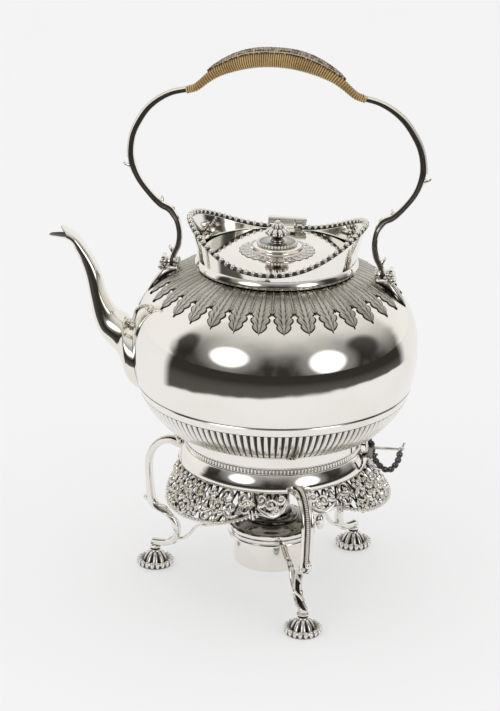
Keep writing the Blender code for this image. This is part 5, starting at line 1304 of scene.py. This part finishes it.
    def build_strip(self) -> None:
        """Dark woven strip that lies along the top of the winding."""
        share = np.linspace(-0.74, 0.76, 150)
        place, run, swell = self.grip_line(share)
        size = swell ** 1.15
        turn = np.radians(44) * np.linspace(-1, 1, 15)
        ends = np.clip(1 - (np.abs(share - 0.01) / 0.75) ** 12, 0.12, 1)[:, None]
        along, side = np.arange(150)[:, None], np.arange(15)[None]
        skins = []
        for outset, knot in ((0.95, 0.22), (-0.4, 0.0)):
            lift = outset + knot * np.sin(along * 1.4) * np.sin(side * math.pi * 0.5)
            high = (5.9 * size[:, None] + lift) * np.cos(turn * ends)
            deep = (7.4 * size[:, None] + lift) * np.sin(turn * ends)
            skins.append(place[:, None] + np.cross(run, SIDE)[:, None] * high[..., None]
                         + SIDE * deep[..., None])
        weave = np.stack((along * 0.36 + 0 * side, side * 0.6 + 0 * along), axis=-1)
        pale = np.zeros((150, 15))
        pale[:, (1, 13)] = 0.9
        pale[:, (4, 10)] = 0.6
        Form().plate(skins[0], skins[1], pale, weave).piece(
            "woven_top_strip", Finish.STRIP, "handle", "grip_strip")


@dataclass
class Apron:
    """Three pierced panels that flare out from the ring between the legs."""

    top: float = 92.2
    radius: float = 61.0
    flare: float = 19.0
    margin: float = 5.3
    width: float = 121.0
    depths: tuple = (9, 16, 14, 17.5, 20.5, 21.5, 22, 21.5, 20.5, 17.5, 14, 16, 9)
    starts: tuple = (172.8, 292.8, 52.8)

    def depth(self, along: object) -> np.ndarray:
        """Depth of a panel at a share of its width."""
        return np.interp(along, np.linspace(0, 1, len(self.depths)), self.depths)

    def point(self, along: object, fall: object, lift: object = 0.0) -> np.ndarray:
        """Place on the panel that is being built.

        Args:
            along: Share of the panel's width.
            fall: Distance below its top, in millimetres.
            lift: Distance in front of its middle surface.

        Returns:
            Points about the kettle's axis.
        """
        along, fall = np.asarray(along, float), np.asarray(fall, float)
        margin = self.margin / self.radius
        turn = self.start + margin + (TAU / 3 - 2 * margin) * along
        out = self.flare * np.sin(math.pi * np.clip(along, 0, 1)) ** 0.65
        share = np.clip(fall / max(self.depths), 0, 1.1)
        radius = self.radius + out * share ** 0.8 + 0.7 * np.asarray(lift, float)
        return rotated(np.stack((radius, self.top - fall + 0.7 * lift), axis=-1), turn)

    def outward(self, path: np.ndarray) -> np.ndarray:
        """Direction in which the panel faces at points of a path."""
        return unit(unit(path * np.array((1, 1, 0))) + UP * 0.8)

    def build(self) -> None:
        """Build the three panels."""
        for index, degrees in enumerate(self.starts):
            self.start = math.radians(degrees)
            self.build_panel(str(index + 1))

    def build_panel(self, number: str) -> None:
        """One panel of scrolls, flowers and leaves over a trellis painted dark as shade, edged with beads.
        """
        self.form = Form()
        shares = smooth([(index / 12, depth) for index, depth in enumerate(self.depths)], 10)
        edge = self.point(shares[:, 0], shares[:, 1] - 0.9)
        # The lower edge carries a little painted shade.
        self.form.sweep(edge, self.outward(edge), 0.9, 0.8, sides=8, tarnish=0.3)
        rail = self.point(np.linspace(0, 1, 60), np.full(60, 0.8))
        self.form.sweep(rail, UP, 0.7, 0.8, sides=8)
        self.add_trellis()
        self.add_ornament(np.random.default_rng(11))
        border = slice(26, 95)
        line = self.point(shares[border, 0], shares[border, 1] - 0.2, 0.7)
        beads = bead_row(line, 32, (0.98, 1.4, 1.4), Finish.CHASED, self.outward(line))
        line = self.point(np.linspace(0.01, 0.99, 80), np.full(80, 1.0), 0.7)
        dots = bead_row(line, 72, (0.62, 0.6, 0.6), Finish.CHASED, self.outward(line),
                        columns=6, rows=5)
        self.form.piece("apron_scrolls_" + number, Finish.CHASED, "stand",
                        "apron_panel_" + number, extra=[beads, dots])

    def add_trellis(self) -> None:
        """Add the strands behind the ornament, painted dark as shade, with openings between them."""
        for lean in (-1, 1):
            for column in np.arange(-0.1, 1.1, 0.043):
                fall = np.linspace(1.2, 21.5, 12)
                along = column + lean * fall * 0.0032
                inside = (along > 0.005) & (along < 0.995) & (fall < self.depth(along) - 0.8)
                if inside.sum() > 2:
                    path = self.point(along[inside], fall[inside], -0.5)
                    self.form.sweep(path, self.outward(path), 0.85, 0.35, sides=6, tarnish=0.9)

    def add_ornament(self, chance: np.random.Generator) -> None:
        """Add mirrored scrolls at the ends, then the field of flowers and scrolls."""
        for hand in (1, -1):
            def at(share: float) -> float:
                """Share of the width, counted from this hand's end."""
                return share if hand > 0 else 1 - share
            for share, fall, radius, first in ((0.045, 5.0, 2.9, 0.4), (0.100, 8.6, 4.2, 2.2),
                                               (0.068, 12.0, 2.6, 4.4), (0.150, 5.2, 3.6, 1.0),
                                               (0.225, 10.2, 4.9, 3.4)):
                self.add_scroll(at(share), fall, radius, hand, first if hand > 0
                                else math.pi - first)
            crescent = smooth([(at(0.012), 7.0), (at(0.035), 12.2), (at(0.085), 15.0),
                               (at(0.135), 12.8), (at(0.168), 9.4)], 6)
            path = self.point(crescent[:, 0], crescent[:, 1], 0.6)
            swell = 0.6 + 1.1 * np.sin(np.linspace(0, math.pi, len(path)))
            self.form.sweep(path, self.outward(path), swell, 0.9, sides=10)
            for share, reach in ((0.175, 4.2), (0.192, 5.4), (0.208, 4.6)):
                leaf = self.point(np.linspace(at(share), at(share - 0.012), 6),
                                  np.linspace(11.5, 11.5 + reach, 6), 0.9)
                self.form.sweep(leaf, self.outward(leaf), np.linspace(0.5, 1.0, 6), 0.7, sides=8)
        for row, (fall, count) in enumerate(((5.4, 7), (11.6, 7), (17.2, 6))):
            for column in range(count):
                share = 0.30 + 0.40 * (column + 0.5 * (row % 2)) / (count - 0.5)
                if row == 0:
                    share = 0.24 + 0.52 * column / (count - 1)
                spot = share + chance.uniform(-0.006, 0.006)
                drop = fall + chance.uniform(-0.5, 0.5)
                if (column + 2 * row) % 3 == 1:
                    self.add_flower(spot, drop, chance)
                else:
                    self.add_scroll(spot, drop, chance.uniform(4.3, 5.2),
                                    1 if column % 4 else -1, chance.uniform(0, TAU))
                if column % 2 == row % 2:
                    self.add_leaf(spot + 0.030, drop + 2.6, chance.uniform(0, TAU))

    def add_scroll(self, along: float, fall: float, radius: float, hand: int,
                   first: float) -> None:
        """Add one spiral scroll that ends in a bead."""
        share = np.linspace(0, 1, 26)
        reach = radius * (1.1 - 0.9 * share ** 0.9)
        turn = first + hand * share * TAU * 1.3
        shares = along + reach * np.cos(turn) / self.width
        falls = np.clip(fall + reach * np.sin(turn), 1.0, self.depth(shares) - 0.6)
        path = self.point(np.clip(shares, 0.004, 0.996), falls, 0.3 + 0.7 * share)
        outline = np.array([(0, 1), (.75, .35), (1, -.6), (0, -1), (-1, -.6), (-.75, .35)])
        # Painted shade on the scroll's underside, bright along its crown.
        shade = np.array((0, 0.05, .7, 1, .7, 0.05))
        self.form.sweep(path, self.outward(path), 1.45 - 0.55 * share, 1.3, outline,
                        tarnish=shade[None])
        self.form.ball(path[-1], 1.25, 8, 6, facing=self.outward(path)[-1])

    def add_flower(self, along: float, fall: float, chance: np.random.Generator) -> None:
        """Add one flower of five petals round a bead."""
        first = chance.uniform(0, TAU)
        for turn in first + TAU * np.arange(5) / 5:
            place = self.point(along + 2.6 * math.cos(turn) / self.width,
                               max(fall + 2.6 * math.sin(turn), 1.6), 0.6)
            # Each petal and the middle bead get painted shade on their far sides.
            self.form.ball(place, 1.65, 10, 8, facing=self.outward(place[None])[0])
        middle = self.point(along, fall, 1.7)
        self.form.ball(middle, 1.2, 8, 6, facing=self.outward(middle[None])[0])

    def add_leaf(self, along: float, fall: float, turn: float) -> None:
        """Add one small pointed leaf."""
        step = np.linspace(-2.9, 2.9, 7)
        falls = np.clip(fall + step * math.sin(turn), 1.2, self.depth(along) - 0.8)
        path = self.point(along + step * math.cos(turn) / self.width, falls, 0.4)
        swell = 0.25 + 1.25 * np.sin(np.linspace(0.1, math.pi - 0.1, 7))
        # Painted shade on the leaf's lower half.
        shade = np.array((0.25, 0, 0, 0.25, 1, 1, 1, 1))
        self.form.sweep(path, self.outward(path), swell, 0.9, tarnish=shade[None], sides=8)


@dataclass
class Stand:
    """Ring, milled band, legs with their pads, and braces to the lamp."""

    ring_bottom: float = 92.5
    ring_top: float = 103.0
    leg_angles: tuple = (172.8, 292.8, 52.8)
    leg_names: tuple = ("spout", "front", "back")
    leg_reach: float = 88.0
    leg_rise: float = 95.4
    leg_thickness: float = 4.3
    leg_width: float = 8.2
    ticks: int = 154
    leg: tuple = (
        (.742, .985, .95, 1.9), (.815, .998, 1, 1.5), (.895, .976, 1, 1.15), (.962, .912, 1, 1),
        (.998, .815, 1, 1), (.995, .694, 1, 1), (.985, .577, 1.05, 1), (.968, .494, 1.25, .95),
        (.925, .458, 1.15, .8), (.862, .430, 1, .75), (.802, .376, 1, .7), (.768, .305, 1, .7),
        (.780, .228, 1, .8), (.838, .186, 1, .85), (.905, .1745, .95, .8),
        (.975, .1745, .95, .7))
    brace: tuple = ((1, 0), (.9, .08), (.79, .28), (.68, .58), (.57, .72), (.42, .75),
                    (.24, .86), (.08, .98), (0, 1))

    def build(self) -> None:
        """Build the stand's pieces."""
        self.build_ring()
        for degrees, name in zip(self.leg_angles, self.leg_names):
            self.build_leg(math.radians(degrees), name)
        for node, body in (("tilt_ear_front", "stand"), ("tilt_ear_back", "stand"),
                           ("lock_ear", "stand"), ("tilt_tab", "kettle"),
                           ("lock_tab", "kettle")):
            softened(node, Finish.SMOKED if node == "lock_ear" else Finish.CHASED, body)
        dress_node("tilt_pin", Finish.BRASS)

    def build_ring(self) -> None:
        """Wide polished ring and the band of fine ticks on it."""
        low, high = self.ring_bottom, self.ring_top
        outer = [(60.4 + (high - low) * (0.60 * share - 0.29 * share ** 2),
                  high - 0.2 - (high - low - 0.7) * share) for share in np.linspace(0, 1, 16)]
        profile = [(60.1, high), *outer, (63.9, low + 0.3), (63.7, low), (60.2, low),
                   (58.4, high - 2.2), (55, high - 2.2), (55, high)]
        # Painted shade at the ring's inner top edge and along its lower outer edge.
        Form().lathe(profile, 160, [0.3] + [0] * 16 + [0.5, 0.2, 0, 0, 0, 0]).piece(
            "ring_moulding", Finish.POLISHED, "stand", "stand_ring")
        low, high = high + 0.3, high + 5.0
        band = [(59.3, high), (59.9, high - 0.3), (59.9, high - 0.7), (59.3, high - 0.9),
                (59.3, low + 0.5), (60.0, low + 0.3), (60.0, low), (55.4, low), (55.4, high)]
        # Painted shade on the band's recessed waist between the ticks.
        base = Form().lathe(band, 154, [0, 0, 0, 0.55, 0.55, 0, 0, 0, 0])
        heights = np.array((low + 0.35, low + 0.9, high - 1.4, high - 0.8))
        rib = np.stack([np.stack((59.1 + reach * np.array((1.1, 1.4, 1.4, 1.1)),
                                  np.full(4, side), heights), axis=-1)
                        for side, reach in ((-.85, -.3), (-.5, .55), (0, .75), (.5, .55),
                                            (.85, -.3))], axis=1)
        ticks = ring_copies(Form().grid(rib, 0.0, caps=True), self.ticks, Finish.CHASED)
        base.piece("milled_moulding", Finish.CHASED, "stand", "milled_band", extra=[ticks])

    def build_leg(self, angle: float, name: str) -> None:
        """One scrolled leg with a bead ridge down its face, its pad and its brace."""
        out = np.array((math.cos(angle), math.sin(angle), 0))
        side = np.cross(out, UP)
        path = smooth(((60.0 / self.leg_reach, *self.leg[0][1:]), *self.leg), 9)
        line = out * (self.leg_reach * path[:, :1]) + UP * (self.leg_rise * path[:, 1:2])
        thick = self.leg_thickness / 2 * path[:, 2]
        wide = self.leg_width / 2 * path[:, 3]
        outline = np.array([(.6, 0), (.5, .24), (.35, .32), (.7, .44), (.95, .72), (.75, 1),
                            (-.5, .9), (-1, .4), (-1, -.4), (-.5, -.9), (.75, -1), (.95, -.72),
                            (.7, -.44), (.35, -.32), (.5, -.24)])
        # Painted shade in the channel down the leg's face, under its bead ridge, and a little at the back
        # corners.
        shade = np.array((.9, .9, .8, .1, 0, 0, .2, .1, .1, .2, 0, 0, .1, .8, .9))
        form = Form().sweep(line, side, thick, wide, outline, tarnish=shade[None])
        outward = np.cross(side, unit(np.gradient(line, axis=0)))
        stop = 9 * 7 + 4
        ridge = line + outward * thick[:, None] * 0.85
        form.ball(ridge[stop] + outward[stop] - side * 1.2, 2.4)
        # The lower knob and the twisted strands get a little painted shade.
        form.ball(line[stop + 2] + outward[stop + 2] * 2.0 + side * 2.0 - UP, 1.7, tarnish=0.3)
        beads = bead_row(ridge[9:stop], 44, (0.72, 1.35, 1.2), Finish.CHASED, outward[9:stop])
        for phase in (0, math.pi):
            low = slice(stop + 8, len(line) - 14)
            twist = np.linspace(phase, phase + 1.5 * TAU, len(line[low]))[:, None]
            strand = line[low] + side * 2.3 * np.cos(twist) + outward[low] * 2.0 * np.sin(twist)
            form.sweep(strand, side, 1.1, 1.1, sides=8, tarnish=0.1)
        form.piece("leg_scroll_" + name, Finish.CHASED, "stand", "leg_" + name, extra=[beads])
        shares = smooth(self.brace, 8)
        line = out * (30.3 + 35.1 * shares[:, :1]) + UP * (21.5 + 17.7 * shares[:, 1:2])
        # The brace gets a little painted shade all over.
        Form().sweep(line, side, 1.3, 2.3, sides=12, tarnish=0.2).piece(
            "brace_scroll_" + name, Finish.POLISHED, "stand", "brace_" + name)
        self.build_pad(tuple(out[:2] * 83.3), name)

    def build_pad(self, centre: tuple[float, float], name: str) -> None:
        """Dished pad with lobes round its rim and a petalled bulb in its middle."""
        dish = [(0, 3.2), (8, 3.2), (10.2, 4.3), (11.2, 4.6), (12.2, 3.4), (12.4, 1.8),
                (11.9, 0.6), (11.6, 0), (0, 0)]
        # Painted shade in the dish, under its rim, on the collar's waist and between the bulb's petals.
        form = Form().lathe(dish, 60, [.7, .8, .5, .1, .5, .8, .6, .3, 0], False, centre)
        collar = [(0, 14.3), (3.6, 14.3), (4.3, 13.8), (4.3, 13.2), (3.4, 12.6), (3.1, 11.6),
                  (3.9, 10.9), (4.0, 10.4), (3.2, 9.9), (0, 9.9)]
        form.lathe(collar, 32, [0, 0, 0, .3, .8, .8, 0, 0, .6, 0], False, centre)
        turn = TAU * np.arange(72) / 72
        petals = np.abs(np.cos(4.5 * turn)) ** 0.6
        rows, shades = [], []
        for share in np.linspace(0, 1, 14):
            reach = (3.0 + 5.6 * share ** 0.8) * (0.84 + 0.16 * petals)
            height = 10.3 - 7.2 * share ** 1.5 + 0 * reach
            rows.append(rotated(np.stack((reach, height), axis=-1), turn, centre))
            shades.append(np.clip(1.25 * (1 - petals) + 0.3 * share, 0, 1))
        form.grid(np.array(rows), np.array(shades), caps=True)
        lobe = Form().ball((centre[0] + 11.3, centre[1], 2.9), (1.75, 1.6, 2.4), 10, 8)
        lobes = ring_copies(lobe, 20, Finish.CHASED, centre=centre)
        form.piece("pad_lobed_" + name, Finish.CHASED, "stand", "pad_" + name, extra=[lobes])


def build_lamp() -> None:
    """Build the spirit lamp, piece by piece, and the ring that carries it."""
    # The shade column of each turning is painted shade: in grooves, under steps and on the rim's
    # underside; the burner pipe is a little darker all over.
    for name, body, node, finish, columns, profile, shade in (
            ("lamp_cradle", "stand", "lamp_ring", Finish.POLISHED, 96,
             [(29.6, 41.7), (30, 41.3), (30, 39.9), (29.8, 39.6), (29.8, 38.6), (30, 38.3),
              (30, 37.1), (29.4, 36.7), (26.3, 36.7), (26.3, 41.7)],
             [0, 0, 0, .4, .4, 0, 0, 0, 0, 0]),
            ("lamp_tank", "lamp", "lamp_reservoir", Finish.POLISHED, 96,
             [(0.01, 17.0), (21.7, 17.0), (23.8, 18.0), (24.7, 20.0), (24.7, 41.7),
              (25.7, 41.7), (25.7, 18.6), (25.3, 17.2), (24.2, 16.3), (22.7, 16.0),
              (0.01, 16.0)], 0.0),
            ("lamp_rim", "lamp", "lamp_flange", Finish.POLISHED, 96,
             [(29.7, 44.9), (30.1, 44.5), (30.1, 43.2), (30.0, 42.3), (29.6, 42.0),
              (10.9, 42.0), (10.9, 44.0), (26, 44.0), (28.4, 44.0), (29.0, 44.6)],
             [0, 0, 0, .3, 0, 0, .5, .5, .4, 0]),
            ("lamp_dome", "lamp", "lamp_cover", Finish.SMOKED, 96,
             [(12.3, 51.9), (14.0, 51.9), (14.6, 51.3), (14.5, 50.5), (15.6, 49.8),
              (17.6, 49.7), (18.0, 49.0), (17.8, 48.2), (19.6, 47.6), (22.4, 47.0),
              (25.4, 46.0), (27.4, 44.9), (28, 44.3), (12.3, 44.3)],
             [0, 0, 0, .8, .2, 0, 0, .8, .3, .1, 0, .1, .5, 0]),
            ("burner_pipe", "lamp", "burner_tube", Finish.SMOKED, 48,
             [(12, 63.9), (11.8, 64.3), (10.9, 64.3), (10.9, 44.3), (12, 44.3), (12, 58),
              (12.4, 58.4), (12.4, 59.2), (12, 59.6)], 0.1)):
        Form().lathe(profile, columns, shade).piece(name, finish, body, node)
    top = [(0, 66.0), (4, 65.9), (8, 65.8), (9.8, 65.2), (10.2, 64), (10.2, 17.3), (0, 17.3)]
    wick = Form().lathe(top, 40, closed=False)
    wick.weave[-1] = np.stack(np.meshgrid(np.arange(7) * 2.0, np.arange(40) * 1.0,
                                          indexing="ij"), axis=-1).reshape(-1, 2)
    wick.piece("wick_plait", Finish.COTTON, "lamp", "wick")
    turn = math.radians(8)
    place = (33.3 * math.cos(turn), 33.3 * math.sin(turn), 44.0)
    Form().ball(place, (3.1, 3.0, 6.0), 24, 16).piece("lamp_thumb_knob", Finish.POLISHED,
                                                      "lamp", "lamp_thumb_piece")


@dataclass
class Lock:
    """Lock pin and the dense chain that hangs from the stand's ear to the pin."""

    height: float = 103.4
    links: int = 24
    route: tuple = ((61.8, 106.6), (63.4, 109.2), (66.4, 107.6), (67.4, 102.0), (69.2, 95.5), (72.5, 91.0),
                    (76.0, 88.3), (79.2, 87.6), (82.6, 90.4), (85.2, 95.4), (86.4, 101.7))

    def build(self) -> None:
        """Build the pin and its chain."""
        form = Form()
        for steps, radii in (((65.4, 66.2, 84, 86.9), (0.7, 0.95, 0.95, 0.95)),
                             ((85.3, 86.0, 87.8, 88.6), (1.3, 1.6, 1.6, 1.1))):
            line = np.array([(x, 0, self.height) for x in steps])
            form.sweep(line, SIDE, np.array(radii), np.array(radii), sides=16)
        cross = smooth([(87 + 0.18 * y * y * 0.4, y, self.height + 0.11 * y * y)
                        for y in (-4.6, -3.2, -1.6, 0, 1.6, 3.2, 4.6)], 4)
        form.sweep(cross, UP, 0.8, 0.8, sides=10).ball(cross[0], 1.1).ball(cross[-1], 1.1)
        form.piece("lock_bolt", Finish.CHASED, "lock_pin", "lock_pin")
        path = smooth([(x, 0, z) for x, z in self.route], 10)
        mesh = bead_row(path, self.links, (1.9, 1.55, 1.2), Finish.BLACKENED, (0, 1, 0),
                        columns=14, wire=0.72)
        add_piece("lock_chain", mesh, Finish.BLACKENED, "stand",
                  *["chain_link_" + str(number) for number in range(1, 8)])


@dataclass
class Studio:
    """Camera, soft lamps, pale floor and the surroundings that the silver reflects."""

    lens: float = 180.0
    eye: tuple = (0.2015, -1.5531, 0.7499)
    pitch: float = 20.5
    roll: float = 1.02
    heading: tuple = (-0.1392, 0.9903)
    paper: float = 0.50
    boxes: tuple = ((-39, 21, 15, 14), (43, 15, 14, 16))
    corners: tuple = ((78, 20, 17, 18), (-80, 20, 11, 18))
    pale: tuple = (0.94, 0.935, 0.92)

    def build(self) -> None:
        """Build everything that isn't part of the object."""
        self.build_camera()
        self.build_floor()
        self.build_world()
        self.build_lamps()
        bpy.context.scene.view_settings.view_transform = "Standard"

    def build_camera(self) -> None:
        """Camera fitted to the photograph."""
        data = bpy.data.cameras.new("camera")
        data.lens = self.lens
        data.sensor_width = 36.0
        data.sensor_fit = "HORIZONTAL"
        camera = bpy.data.objects.new("camera", data)
        bpy.context.scene.collection.objects.link(camera)
        pitch = math.radians(self.pitch)
        look = Vector((self.heading[0] * math.cos(pitch), self.heading[1] * math.cos(pitch),
                       -math.sin(pitch)))
        turn = look.to_track_quat("-Z", "Y").to_matrix().to_4x4()
        camera.matrix_world = (Matrix.Translation(Vector(self.eye) + Vector((AXIS_X, 0, 0)))
                               @ turn @ Matrix.Rotation(math.radians(self.roll), 4, "Z"))
        bpy.context.scene.camera = camera

    def azimuth(self, wiring: Wiring, parts: Sequence) -> bpy.types.NodeSocket:
        """Angle of a level direction, from the side that the photograph is taken from."""
        x, y = -self.heading[0], -self.heading[1]

        def along(first: float, second: float) -> bpy.types.NodeSocket:
            """Part of the direction that lies along a level direction."""
            return wiring.math("MULTIPLY_ADD", parts[0], first,
                               wiring.math("MULTIPLY", parts[1], second))

        return wiring.math("ARCTAN2", along(-y, x), along(x, y))

    def room(self, wiring: Wiring, azimuth: bpy.types.NodeSocket) -> bpy.types.NodeSocket:
        """Mask of the dark room behind the photographer's side."""
        return wiring.math("MULTIPLY", wiring.ramp(azimuth, -1.66, -1.48),
                           wiring.ramp(azimuth, 1.90, 2.12, 1.0, 0.0))

    def build_floor(self) -> None:
        """Wide pale floor, of which the silver sees only the part near the object."""
        mesh = bpy.data.meshes.new("floor")
        points = rotated((6.0, 0.0), TAU * np.arange(96) / 96)
        mesh.from_pydata(points.tolist(), [], [tuple(range(96))])
        material = bpy.data.materials.new("studio_floor")
        material.use_nodes = True
        wiring = Wiring(material.node_tree)
        shader = material.node_tree.nodes["Principled BSDF"]
        place = wiring.add("ShaderNodeMapping", {"Vector": wiring.place(),
                                                 "Location": (-AXIS_X, 0, 0)})
        reach = wiring.add("ShaderNodeVectorMath", {0: place}, operation="LENGTH")
        parts = wiring.add("ShaderNodeSeparateXYZ", {0: place}).outputs
        azimuth = self.azimuth(wiring, parts)
        reach = wiring.math("MULTIPLY_ADD", azimuth, -0.05, reach.outputs["Value"])
        reach = wiring.math("MULTIPLY_ADD", wiring.noise(place, 7.0, 1.0), 0.06, reach)
        edge = wiring.ramp(reach, self.paper + 0.01, self.paper + 0.05)
        beyond = wiring.math("MULTIPLY", edge, self.room(wiring, azimuth))
        seen = wiring.add("ShaderNodeLightPath").outputs["Is Glossy Ray"]
        beyond = wiring.math("MULTIPLY", beyond, seen)
        pale = wiring.mix(wiring.noise(place, 3.0), (0.49, 0.49, 0.49), (0.51, 0.51, 0.51))
        table = wiring.mix(wiring.ramp(reach, self.paper, 1.0), (0.095, 0.090, 0.080),
                           (0.034, 0.031, 0.028))
        colour = wiring.mix(beyond, pale, table)
        glow = wiring.math("SUBTRACT", 1.0, beyond)
        wiring.feed(shader.inputs["Base Color"], colour)
        wiring.feed(shader.inputs["Emission Color"], (0.42, 0.42, 0.42))
        wiring.feed(shader.inputs["Emission Strength"], glow)
        shader.inputs["Roughness"].default_value = 0.8
        shader.inputs["Specular IOR Level"].default_value = 0.0
        mesh.materials.append(material)
        floor = bpy.data.objects.new("floor", mesh)
        bpy.context.scene.collection.objects.link(floor)

    def build_world(self) -> None:
        """Pale surroundings; in reflections, the dark room with its two round soft boxes."""
        world = bpy.data.worlds.new("surroundings")
        world.use_nodes = True
        bpy.context.scene.world = world
        wiring = Wiring(world.node_tree)
        towards = wiring.add("ShaderNodeTexCoord").outputs["Generated"]
        parts = wiring.add("ShaderNodeSeparateXYZ", {0: towards}).outputs
        azimuth = self.azimuth(wiring, parts)
        height = wiring.math("ARCSINE", parts[2])
        ragged = wiring.math("MULTIPLY", wiring.math("SUBTRACT", wiring.noise(towards, 3.0),
                                                     0.5), 0.22)
        aside = wiring.ramp(wiring.math("ABSOLUTE", azimuth), 1.0, 2.0, 0.0, 0.45)
        level = wiring.math("ADD", wiring.math("ADD", height, aside), ragged)
        lightness = wiring.ramp(level, 0.18, 1.25, 0.0, 1.0)
        clutter = wiring.ramp(wiring.noise(wiring.add("ShaderNodeMapping", {
            "Vector": towards, "Scale": (1, 1, 0.25)}), 6.0, 2.0), 0.45, 0.6)
        dark = wiring.mix(clutter, (0.036, 0.032, 0.029), (0.060, 0.055, 0.048))
        colour = wiring.mix(lightness, dark, (0.80, 0.795, 0.765))
        for spot in self.corners:
            far = self.distance(wiring, azimuth, height, spot)
            colour = wiring.mix(wiring.ramp(far, 0.4, 1.4, 0.85, 0.0), colour,
                                (0.022, 0.019, 0.017))
        for spot in self.boxes:
            far = self.distance(wiring, azimuth, height, spot)
            colour = wiring.mix(wiring.ramp(far, 0.9, 5.0, 0.30, 0.0), colour,
                                (0.8, 0.8, 0.78))
            colour = wiring.mix(wiring.ramp(far, 0.25, 1.7, 1.0, 0.0), colour,
                                (2.4, 2.4, 2.36))
        colour = wiring.mix(self.room(wiring, wiring.math("ADD", azimuth, ragged)),
                            self.pale, colour)
        path = wiring.add("ShaderNodeLightPath").outputs
        colour = wiring.mix(path["Is Glossy Ray"], (0.95, 0.95, 0.95), colour)
        wiring.feed(world.node_tree.nodes["Background"].inputs["Color"], colour)

    def distance(self, wiring: Wiring, azimuth: object, height: object,
                 spot: tuple[float, float, float, float]) -> bpy.types.NodeSocket:
        """Squared distance from a spot of given middle and half sizes, one at its edge."""
        across, up = (wiring.math("MULTIPLY", wiring.math(
            "SUBTRACT", value, math.radians(middle)), 1 / math.radians(half))
            for value, middle, half in ((azimuth, *spot[::2]), (height, *spot[1::2])))
        return wiring.math("MULTIPLY_ADD", across, across, wiring.math("MULTIPLY", up, up))

    def build_lamps(self) -> None:
        """Two soft lamps in front of the object, left and right of the camera."""
        ahead = math.atan2(-self.heading[1], -self.heading[0])
        for name, degrees, power in (("left", -39, 1.6), ("right", 44, 1.2)):
            data = bpy.data.lights.new("soft_lamp_" + name, "AREA")
            data.shape = "RECTANGLE"
            data.size = data.size_y = 0.7
            data.energy = power
            lamp = bpy.data.objects.new("soft_lamp_" + name, data)
            turn = ahead + math.radians(degrees)
            place = Vector((AXIS_X + 1.5 * math.cos(turn), 1.5 * math.sin(turn), 1.0))
            aim = Vector((AXIS_X, 0, 0.17)) - place
            lamp.matrix_world = (Matrix.Translation(place)
                                 @ aim.to_track_quat("-Z", "Y").to_matrix().to_4x4())
            lamp.visible_glossy = False
            bpy.context.scene.collection.objects.link(lamp)


def main() -> None:
    """Build the scene in order."""
    logging.basicConfig(level=logging.INFO, format="%(message)s")
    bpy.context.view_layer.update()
    Studio().build()
    kettle = Kettle()
    kettle.build()
    Gallery().build()
    Lid().build()
    Spout().build(kettle)
    Handle().build(kettle)
    Apron().build()
    Stand().build()
    build_lamp()
    Lock().build()


if __name__ == "__main__":
    main()
